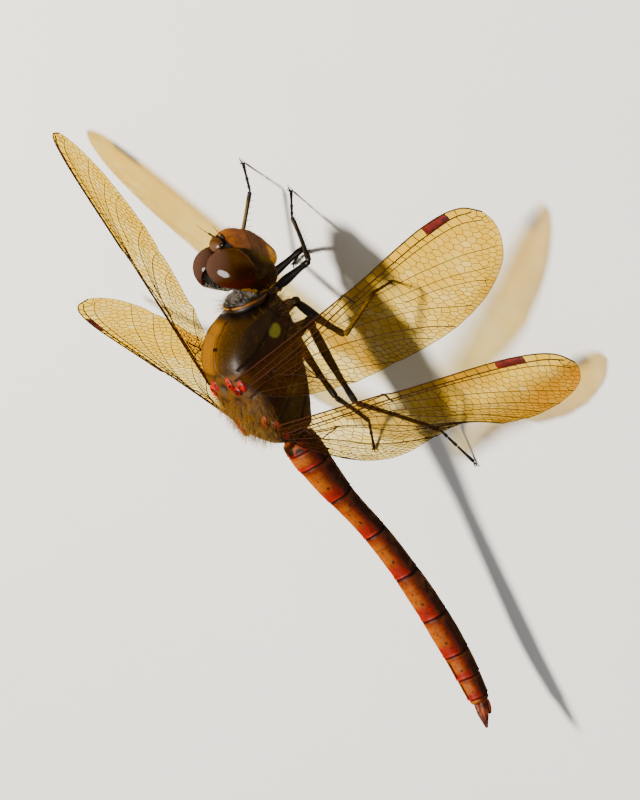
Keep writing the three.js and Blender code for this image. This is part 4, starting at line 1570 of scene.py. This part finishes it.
    def cross_veins(self) -> Array:
        """The cells' sides that don't lie on a main vein, (n, 2 ends, 2)."""
        sides = np.concatenate([np.stack([cell, np.roll(cell, -1, axis=0)], axis=1) for cell in self.cells])
        middle = sides.mean(axis=1)
        taken = np.zeros(len(sides), bool)
        for name in self.lines:
            on_it = np.abs(middle[:, 1] - self.height(name, middle[:, 0])) < 0.0025
            taken |= on_it & self.spans(name, middle[:, 0])
        sides = sides[~taken & (np.linalg.norm(sides[:, 1] - sides[:, 0], axis=1) > 0.002)]
        _, first = np.unique(np.round(sides.mean(axis=1) / 0.0022), axis=0, return_index=True)
        return sides[np.sort(first)]

    def ridge(self, s: Array, y: Array) -> Array:
        """How far the wing's pleats lift it, in millimetres, by the main veins' ridges and valleys."""
        total = np.zeros_like(s)
        for name, sign in PLEATS.items():
            line = self.lines[name]
            past = np.maximum(line[0, 0] - s, 0) + np.maximum(s - line[-1, 0], 0)
            away = np.hypot(y - self.height(name, s), past)
            total += sign * (0.17 - 0.1 * s) * np.exp(-((away / 0.016) ** 2))
        return total


FORE = Venation(
    lead=(
        (0, 0), (0.46, 0.004), (0.75, -0.002), (0.86, 0.001), (0.94, 0.014), (0.985, 0.038), (1.002, 0.075)
    ),
    trail=(
        (0, 0.05), (0.08, 0.13), (0.25, 0.196), (0.45, 0.235), (0.6, 0.25), (0.75, 0.24), (0.88, 0.202),
        (0.95, 0.158),
        (0.99, 0.113), (1.002, 0.075),
    ),
    veins={
        "Sc": ((0, 0.022), (0.25, 0.017), (0.42, 0.012), (0.49, 0.004)),
        "R": (
            (0, 0.032), (0.25, 0.031), (0.49, 0.022), (0.75, 0.018), (0.84, 0.021), (0.935, 0.031),
            (0.985, 0.052),
        ),
        "RP1": (
            (0.12, 0.042), (0.3, 0.042), (0.49, 0.034), (0.7, 0.032), (0.84, 0.039), (0.93, 0.056),
            (0.98, 0.085),
        ),
        "RP2": ((0.47, 0.04), (0.56, 0.052), (0.7, 0.075), (0.84, 0.112), (0.93, 0.158)),
        "IR2": ((0.4, 0.048), (0.5, 0.062), (0.62, 0.09), (0.76, 0.132), (0.86, 0.185)),
        "Rspl": ((0.6, 0.112), (0.7, 0.14), (0.78, 0.18), (0.81, 0.21)),
        "RP34": ((0.28, 0.052), (0.4, 0.075), (0.52, 0.115), (0.62, 0.165), (0.7, 0.235)),
        "MA": ((0.13, 0.055), (0.25, 0.066), (0.36, 0.094), (0.48, 0.145), (0.57, 0.2), (0.61, 0.246)),
        "Mspl": ((0.4, 0.15), (0.48, 0.185), (0.53, 0.235)),
        "MP": ((0.19, 0.12), (0.26, 0.15), (0.33, 0.19), (0.38, 0.225)),
        "CuA": ((0.19, 0.125), (0.22, 0.155), (0.25, 0.195)),
        "M": ((0, 0.045), (0.12, 0.052), (0.155, 0.075)),
        "A": ((0, 0.052), (0.06, 0.075), (0.12, 0.1), (0.17, 0.125)),
    },
    triangle=((0.155, 0.072), (0.205, 0.073), (0.19, 0.125), (0.155, 0.072)),
    nodus=0.49,
    stigma=(0.842, 0.93),
)
HIND = Venation(
    lead=FORE.lead,
    trail=(
        (0, 0.1), (0.04, 0.22), (0.1, 0.292), (0.2, 0.327), (0.35, 0.318), (0.5, 0.292), (0.7, 0.25),
        (0.86, 0.2),
        (0.95, 0.153), (0.99, 0.11), (1.002, 0.075),
    ),
    veins={
        "Sc": ((0, 0.02), (0.2, 0.017), (0.36, 0.011), (0.42, 0.004)),
        "R": (
            (0, 0.032), (0.2, 0.031), (0.42, 0.022), (0.7, 0.018), (0.84, 0.021), (0.935, 0.031),
            (0.985, 0.052),
        ),
        "RP1": (
            (0.1, 0.042), (0.25, 0.043), (0.42, 0.034), (0.65, 0.032), (0.84, 0.039), (0.93, 0.058),
            (0.98, 0.086),
        ),
        "RP2": ((0.4, 0.04), (0.52, 0.056), (0.68, 0.085), (0.82, 0.125), (0.92, 0.17)),
        "IR2": ((0.33, 0.048), (0.45, 0.068), (0.6, 0.105), (0.74, 0.15), (0.85, 0.203)),
        "Rspl": ((0.55, 0.125), (0.66, 0.16), (0.75, 0.21), (0.77, 0.228)),
        "RP34": ((0.24, 0.054), (0.36, 0.082), (0.48, 0.13), (0.6, 0.195), (0.68, 0.255)),
        "MA": ((0.12, 0.052), (0.22, 0.066), (0.33, 0.1), (0.44, 0.155), (0.54, 0.225), (0.6, 0.272)),
        "Mspl": ((0.36, 0.16), (0.44, 0.205), (0.5, 0.27), (0.51, 0.29)),
        "MP": ((0.2, 0.07), (0.28, 0.115), (0.35, 0.175), (0.41, 0.25), (0.44, 0.302)),
        "CuA": ((0.125, 0.09), (0.18, 0.125), (0.24, 0.18), (0.3, 0.25), (0.335, 0.318)),
        "A1": ((0.02, 0.07), (0.07, 0.11), (0.1, 0.17), (0.125, 0.23), (0.16, 0.262), (0.2, 0.262)),
        "midrib": ((0.1, 0.105), (0.15, 0.165), (0.2, 0.232)),
        "A3": ((0.02, 0.09), (0.045, 0.15), (0.07, 0.23), (0.08, 0.27)),
        "M": ((0, 0.044), (0.1, 0.05), (0.125, 0.09)),
        "CuP": ((0, 0.05), (0.05, 0.07), (0.125, 0.09)),
    },
    triangle=((0.125, 0.088), (0.12, 0.058), (0.2, 0.068), (0.125, 0.09)),
    nodus=0.42,
    stigma=(0.793, 0.885),
)


@dataclass
class Wing:
    """A wing in its place: its length, hinge, angles in degrees, breadth, forward bow and rear fold."""

    name: str
    kind: Venation
    length: float
    side: Side
    root: tuple[float, float, float]
    sweep: float
    lift: float
    pitch: float
    twist: float
    breadth: float
    bow: float
    fold: float = 0.0
    fold_line: float = 0.48
    fold_at: float = 0.42
    fold_reach: float = 0.21
    camber: float = 0.05
    film: float = 0.012

    def place(self, s: Array, y: Array, h: Array | float = 0.0) -> Array:
        """The flat wing's points in the model's frame.

        Args:
            s: How far along it they lie, as shares of its length.
            y: How far behind its leading edge's start, in the same shares.
            h: How far off it, in millimetres.

        Returns:
            The places, (n, 3).
        """
        turn, rise = math.radians(self.sweep), math.radians(self.lift)
        out = self.side.value * math.cos(turn)
        span = np.array([math.sin(turn) * math.cos(rise), out * math.cos(rise), math.sin(rise)])
        level = unit(np.cross([0, 0, 1.0], span) * self.side.value)
        level = level if level[0] <= 0 else -level
        normal = unit(np.cross(span, level))
        normal = normal if normal[2] >= 0 else -normal
        angle = np.radians(self.pitch + self.twist * (s - 0.5))[:, None]
        back = level * np.cos(angle) + normal * np.sin(angle)
        face = normal * np.cos(angle) - level * np.sin(angle)
        lead, trail = self.kind.height("lead", s), self.kind.height("trail", s)
        c = np.clip((y - lead) / np.maximum(trail - lead, 1e-4), 0, 1)
        width = (trail * self.breadth - lead) * self.length
        fall = np.radians(self.fold) * np.exp(-(((s - self.fold_at) / self.fold_reach) ** 2))
        beyond = np.maximum(c - self.fold_line, 0) * width
        behind = lead * self.length - self.bow * 4 * s * (1 - s) + c * width - beyond * (1 - np.cos(fall))
        off = h + self.camber * width * 4 * c * (1 - c) - beyond * np.sin(fall) + self.kind.ridge(s, y)
        root = np.array(self.root) - np.array(ORIGIN)
        return root + span * (s * self.length)[:, None] + back * behind[:, None] + face * off[:, None]

    def build(self, vein: bpy.types.Material, film: bpy.types.Material, stigma: bpy.types.Material) -> None:
        """Makes the film, the veins and the dark cell near the tip."""
        self.membrane(film)
        self.net_of_veins(vein)
        self.pterostigma(stigma)

    def membrane(self, finish: bpy.types.Material) -> None:
        """The film: a thin closed skin inside the outline, domed and tinted a little apart in each cell."""
        kind = self.kind
        middles = np.array([cell.mean(axis=0) for cell in kind.cells])
        chance = np.random.default_rng(SEED + 1)
        tints, domes = chance.normal(0, 0.06, len(middles)), chance.normal(0, 0.02, len(middles))
        tip = kind.lines["lead"][-1, 0]

        def flat(turn: Array, share: Array) -> tuple[Array, Array]:
            """The flat wing's points, closer together towards the tip."""
            s = kind.root + (tip - kind.root) * np.sin(share * math.pi / 2)
            lead, trail = kind.height("lead", s), kind.height("trail", s)
            return s, lead + (trail - lead) * (1 - np.cos(turn)) / 2

        def nearest(s: Array, y: Array) -> tuple[Array, Array]:
            """The cell round each point, and how far in it lies, from 0 to 1."""
            cell, depth = np.zeros(len(s), int), np.zeros(len(s))
            for block in np.array_split(np.arange(len(s)), 40):
                away = np.hypot(s[block, None] - middles[:, 0], y[block, None] - middles[:, 1])
                first, second = np.partition(away, 1, axis=1)[:, :2].T
                cell[block], depth[block] = away.argmin(axis=1), np.clip((second - first) / 0.02, 0, 1)
            return cell, depth

        def surface(turn: Array, share: Array) -> Array:
            """Places on the film's two faces."""
            s, y = flat(turn, share)
            cell, depth = nearest(s, y)
            return self.place(s, y, self.film * np.sin(turn) / 2 + domes[cell] * depth)

        def amber(turn: Array, share: Array) -> Array:
            """How deep the film's tint is."""
            s, y = flat(turn, share)
            cell, _ = nearest(s, y)
            return 0.3 + 0.28 * smooth(s, 0.35, 0.7) + 0.16 * np.exp(-y / 0.03) + tints[cell]

        form = Form()
        form.wrap(112, 190, surface, amber=amber)
        form.piece(f"{self.name}_membrane", finish, "wing_amber", [self.name])

    def net_of_veins(self, finish: bpy.types.Material) -> None:
        """The main veins, the cross veins and the knot half way along the leading edge."""
        strands = Strands()
        for name, line in self.kind.lines.items():
            line = by_length(line, np.linspace(0, 1, 90))
            radii = VEIN_RADIUS.get(name, OTHER_RADIUS) * (0.72 - 0.14 * line[:, 0])
            strands.add(self.place(*line.T)[None], radii[None], 8, mark=line[None, :, 0])
        line = by_length(np.array(self.kind.triangle), np.linspace(0, 1, 40))
        strands.add(self.place(*line.T)[None], np.full((1, 40), 0.045), 8, mark=line[None, :, 0])
        sides = self.kind.cross_veins()
        t = np.linspace(0, 1, 3)[None, :, None]
        lines = sides[:, :1] * (1 - t) + sides[:, 1:] * t
        placed = self.place(*lines.reshape(-1, 2).T).reshape(*lines.shape[:2], 3)
        forward = lines[:, :, 1] < self.kind.height("RP1", lines[:, :, 0])
        radii = np.where(forward, 0.032, 0.02) * (1.1 - 0.3 * lines[:, :, 0])
        strands.add(placed, radii, 5, mark=lines[:, :, 0])
        self.knot(strands)
        strands.piece(f"{self.name}_veins", finish, "dark_chitin")

    def knot(self, strands: Strands) -> None:
        """The nodus: a stout cross vein and the notch's thickening."""
        x = self.kind.nodus
        end = self.kind.height("RP1", x + 0.006)
        line = spline([(x - 0.012, self.kind.height("lead", x)), (x, 0.008), (x + 0.006, end)], 12)
        strands.add(self.place(*line.T)[None], np.linspace(0.11, 0.05, 12)[None], 8, mark=0.5)

    def pterostigma(self, finish: bpy.types.Material) -> None:
        """The thick coloured cell on the leading edge near the tip."""

        def surface(turn: Array, share: Array) -> Array:
            """Places on the slab, with squared ends."""
            start, end = self.kind.stigma
            s = start + (end - start) * share
            bulge = np.clip(np.minimum(share, 1 - share) / 0.04, 0, 1)
            lead, low = self.kind.height("lead", s) + 0.001, self.kind.height("R", s)
            across = np.sign(np.cos(turn)) * np.abs(np.cos(turn)) ** 0.4
            y = (lead + low) / 2 + across * (low - lead) / 2 * bulge
            return self.place(s, y, 0.075 * np.sin(turn) * bulge**0.5)

        form = Form()
        form.wrap(24, 40, surface)
        form.piece(f"{self.name}_stigma", finish, "cuticle_red")


WINGS = (
    Wing("forewing_right", FORE, 28.3, Side.RIGHT, (0.7, -1.35, 12.2), 25.8, -15.1, -29.3, -3.3, 1.08, -0.2),
    Wing(
        "hindwing_right",
        HIND,
        27.2,
        Side.RIGHT,
        (-3.85, -1.35, 11.45),
        7.5,
        -18.9,
        -32.2,
        16,
        1.02,
        0.15,
        23.6,
    ),
    Wing("forewing_left", FORE, 28.3, Side.LEFT, (0.3, 1.75, 12.35), 36.6, -18.8, -42, -3, 1, 0.1),
    Wing("hindwing_left", HIND, 27.2, Side.LEFT, (-3.75, 1.5, 11.35), 11.8, -12.2, -58, -34, 1, 0.1),
)


@dataclass
class Hinges:
    """The small red plates at the wings' roots."""

    plates: tuple = (
        Blob((0.4, -0.75, -0.1), (0.7, 0.4, 0.26)), Blob((-0.2, -1.0, -0.14), (0.5, 0.55, 0.26)),
        Blob((0.1, -1.6, -0.35), (0.6, 0.42, 0.28)), Blob((-3.14, -1.65, -0.58), (0.65, 0.4, 0.26)),
        Blob((-3.88, -1.85, -1.02), (0.65, 0.45, 0.3)), Blob((-4.9, -1.65, -1.5), (0.7, 0.4, 0.26)),
        Blob((0.3, 0.85, -0.1), (0.6, 0.36, 0.24)), Blob((-0.2, 1.5, -0.22), (0.6, 0.42, 0.26)),
        Blob((-2.8, 0.6, -0.26), (0.5, 0.3, 0.22)), Blob((-3.7, 1.2, -0.5), (0.6, 0.42, 0.26)),
        Blob((-4.4, 1.75, -0.9), (0.5, 0.36, 0.26)),
    )

    def build(self) -> None:
        """Makes the plates in one piece."""
        form = Form()
        for plate in self.plates:
            form.wrap(24, 18, plate.surface(BODY))
        finish = PlainFinish("hinge_plate", "c00e00", "3a0600", 0.3, 2.6, 0.1).build()
        form.piece("hinge_plates", finish, "cuticle_red")


# ---------------------------------------------------------------- hair


@dataclass(frozen=True)
class Hair:
    """A kind of hair: its shortest and longest, its lean, its root's radius and how much it strays."""

    length: tuple[float, float]
    lean: tuple[float, float, float]
    radius: float
    flare: float = 0.28


@dataclass
class Coat:
    """The fine hair: golden on the thorax, pale behind the head, short and dark on the face and abdomen."""

    thorax: Thorax
    head: Head
    abdomen: Abdomen
    droop: float = 0.22
    sag: float = 0.35
    taper: tuple = (1.0, 0.85, 0.6, 0.22)

    def __post_init__(self) -> None:
        """Starts the seeded chance that places the hairs."""
        self.chance = np.random.default_rng(SEED + 2)

    def sow(
        self,
        strands: Strands,
        surface: Surface,
        matrix: Matrix,
        count: int,
        hair: Hair,
        mask: Callable[[Array, Array, Array], Array],
    ) -> None:
        """Grows hairs from random places on a skin.

        Args:
            strands: Where they are added.
            surface: The skin's own shape.
            matrix: The local frame that the mask and the lean are told in.
            count: How many places are tried.
            hair: The kind of hair; its lean is against its own upright as 1.
            mask: The share of them that grow, from x, y and z in the local frame.
        """
        turn, share = self.chance.uniform(-math.pi, math.pi, count), self.chance.uniform(0.03, 0.97, count)
        places = surface(turn, share)
        grown = self.chance.random(count) < mask(*carried(places, matrix.inverted()).T)
        turn, share, places = turn[grown], share[grown], places[grown]
        if not len(turn):
            return
        around = surface(turn + 0.01, share) - surface(turn - 0.01, share)
        along = surface(turn, share + 0.005) - surface(turn, share - 0.005)
        normal = unit(np.cross(around, along))
        out = places - surface(turn + math.pi, share)
        normal *= np.sign(np.sum(normal * out, axis=1, keepdims=True))
        leaning = np.array(matrix.to_3x3()) @ np.array(hair.lean)
        way = unit(normal + leaning + self.chance.normal(0, hair.flare, places.shape))
        droop = self.chance.normal(0, self.droop, places.shape) + leaning * self.sag
        reach = self.chance.uniform(*hair.length, len(turn))[:, None, None]
        t = np.linspace(0, 1, len(self.taper))[None, :, None]
        root = (places - normal * 0.03)[:, None]
        lines = root + reach * (way[:, None] * t + droop[:, None] * t**2 * 0.5)
        lines[:, :, 2] = np.maximum(lines[:, :, 2], 0.02)
        radii = hair.radius * np.array(self.taper)[None] * self.chance.uniform(0.75, 1.15, (len(turn), 1))
        roots = np.stack([turn / (2 * math.pi) + 0.5, share], axis=-1)
        strands.add(lines, radii, 3, mark=t[:, :, 0], roots=roots)

    def build(self) -> None:
        """Makes the coat's pieces."""
        self.golden_fuzz()
        self.pale_fringe()
        self.dark_bristles()

    def golden_fuzz(self) -> None:
        """The hair of the thorax: on its back, its breast, its shoulders and its sides."""
        strands = Strands()
        skin = self.thorax.surface
        for hair, mask in (
            (
                Hair((0.4, 1.0), (-0.6, 0, 0.1), 0.011),
                lambda x, y, z: smooth(z, -1.4, -0.7) * smooth(-x, 0.4, 1.3),
            ),
            (Hair((0.4, 0.9), (0, 0, -0.3), 0.011), lambda x, y, z: 0.5 * smooth(-z, 5.0, 6.4)),
            (Hair((0.2, 0.5), (0.25, 0, 0.1), 0.006), lambda x, y, z: 0.22 * smooth(x, 1.2, 1.8)),
            (
                Hair((0.25, 0.6), (-0.2, 0, 0), 0.008),
                lambda x, y, z: 0.13 * smooth(-z, 0.9, 1.6) * smooth(-x, -1.4, -0.9),
            ),
        ):
            self.sow(strands, skin, BODY, 9000, hair, mask)
        strands.piece("thorax_fuzz", HairFinish("golden_hair", "5a3606", "b4801e").build(), "face_ochre")

    def pale_fringe(self) -> None:
        """The pale hair of the collar and of the back of the head."""
        strands = Strands()
        ring = self.thorax.prothorax.surface(BODY)
        rim = Hair((0.2, 0.55), (1.2, 0, 0.2), 0.007, 0.3)
        tuft = Hair((0.5, 1.3), (0, 0.9, 0.1), 0.011, 0.3)
        nape = Hair((0.2, 0.55), (-0.35, 0, 0), 0.007, 0.4)
        self.sow(
            strands, ring, BODY, 5200, rim, lambda x, y, z: 0.55 * smooth(x, 4.5, 4.7) * smooth(z, -5.6, -4.8)
        )
        self.sow(
            strands, ring, BODY, 2600, tuft, lambda x, y, z: 0.9 * smooth(y, 0.5, 1.0) * smooth(z, -4.9, -4.5)
        )
        self.sow(
            strands, self.head.skull, HEAD, 9000, nape,
            lambda x, y, z: 0.75 * smooth(-x, 0.9, 1.4) * smooth(z, -2.0, -1.2),
        )
        strands.piece("pale_fringe", HairFinish("pale_hair", "6a604c", "c4c0b4").build(), "mouth_yellow")

    def dark_bristles(self) -> None:
        """The short dark bristles of the face and the abdomen."""
        strands = Strands()
        face = Hair((0.14, 0.36), (0, 0, 0.3), 0.009, 0.25)
        belly = Hair((0.1, 0.24), (-0.7, 0, 0), 0.007, 0.25)
        self.sow(strands, self.head.skull, HEAD, 5200, face, lambda x, y, z: 0.34 * smooth(x, 0.7, 1.3))
        self.sow(
            strands, self.abdomen.surface, STAND, 5200, belly,
            lambda x, y, z: 0.3 + 0.3 * smooth(-z, -4.5, -3.5),
        )
        strands.piece("dark_bristles", HairFinish("dark_hair", "1d130b", "3a2616").build(), "dark_chitin")


# ---------------------------------------------------------------- studio


@dataclass
class Studio:
    """A pale floor, soft light and the camera."""

    right: tuple = (-0.383, -0.608, -0.696)
    back: tuple = (0.356, -0.792, 0.496)
    aim: tuple = (5.91, -4.44, 7.93)
    distance: float = 400.0
    lens: float = 249.5
    sun: tuple = (0.549, 0.5, 1.0)
    sky: tuple = (0.07, -0.28, 0.96)
    lamps_away: float = 420.0

    def build(self) -> None:
        """Makes everything that isn't the insect."""
        self.floor()
        self.camera()
        key = self.lamp("key", self.sun, 5.2, 70, (1.0, 0.95, 0.88))
        key.visible_glossy = False
        gleam = self.lamp("gleam", self.sky, 3.1, 255, (1.0, 0.96, 0.9))
        gleam.visible_diffuse = False
        self.surround()

    def surround(self) -> None:
        """The soft light from all round: pale, but dim and warm where a polished surface mirrors it."""
        world = bpy.data.worlds.new("studio")
        world.use_nodes = True
        tree = world.node_tree
        backdrop, path = tree.nodes["Background"], tree.nodes.new("ShaderNodeLightPath")
        tones = tree.nodes.new("ShaderNodeMix")
        tones.data_type = "RGBA"
        tinted = {socket.name: socket for socket in tones.inputs if socket.type == "RGBA"}
        tinted["A"].default_value = (0.28, 0.285, 0.3, 1)
        tinted["B"].default_value = (0.13, 0.085, 0.05, 1)
        tree.links.new(path.outputs["Is Glossy Ray"], tones.inputs[0])
        result = next(socket for socket in tones.outputs if socket.type == "RGBA")
        tree.links.new(result, backdrop.inputs["Color"])
        bpy.context.scene.world = world

    def floor(self) -> None:
        """The floor that it stands on."""
        bm = bmesh.new()
        bmesh.ops.create_grid(bm, x_segments=2, y_segments=2, size=1.5)
        mesh = bpy.data.meshes.new("floor")
        bm.to_mesh(mesh)
        bm.free()
        mesh.materials.append(FloorFinish().build())
        floor = bpy.data.objects.new("floor", mesh)
        floor.visible_glossy = False
        bpy.context.scene.collection.objects.link(floor)

    def lamp(self, name: str, way: tuple, power: float, size: float, colour: Colour) -> bpy.types.Object:
        """A round soft light that faces the insect.

        Args:
            name: What it is called.
            way: The way to it from the insect.
            power: Its power in watts.
            size: How wide it is, in millimetres.
            colour: Its light's colour.

        Returns:
            The light.
        """
        aim = np.array(self.aim)
        place = aim + self.lamps_away * unit(np.array(way))
        light = bpy.data.lights.new(name, "AREA")
        light.shape = "DISK"
        light.size = size * MM
        light.energy = power
        light.color = colour
        made = bpy.data.objects.new(name, light)
        made.location = Vector(place) * MM
        made.rotation_euler = Vector(place - aim).to_track_quat("Z", "Y").to_euler()
        bpy.context.scene.collection.objects.link(made)
        return made

    def camera(self) -> None:
        """The camera."""
        lens = bpy.data.cameras.new("camera")
        lens.lens = self.lens
        lens.sensor_width = 36
        lens.clip_start = 0.01
        made = bpy.data.objects.new("camera", lens)
        back = Vector(self.back).normalized()
        up = back.cross(Vector(self.right)).normalized()
        turn = Matrix((up.cross(back), up, back)).transposed().to_4x4()
        place = (Vector(self.aim) + self.distance * back) * MM
        made.matrix_world = Matrix.Translation(place) @ turn
        bpy.context.scene.collection.objects.link(made)
        bpy.context.scene.camera = made


def main() -> None:
    """Builds the dragonfly and its studio."""
    logging.basicConfig(level=logging.INFO, format="%(message)s")
    thorax, head, abdomen = Thorax(), Head(), Abdomen()
    thorax.build()
    Hinges().build()
    head.build()
    abdomen.build()
    leg_finish = LegFinish().build()
    hip_finish = PlainFinish("hip_shell", "3c2406", "150b03", 0.38, 0.9).build()
    for leg in LEGS:
        leg.build(leg_finish, hip_finish)
    vein, film = VeinFinish().build(), MembraneFinish().build()
    stigma = PlainFinish("pterostigma", "7a1600", "4a0c00", 0.5, coat=0.0).build()
    for wing in WINGS:
        wing.build(vein, film, stigma)
    Coat(thorax, head, abdomen).build()
    Studio().build()


if __name__ == "__main__":
    main()
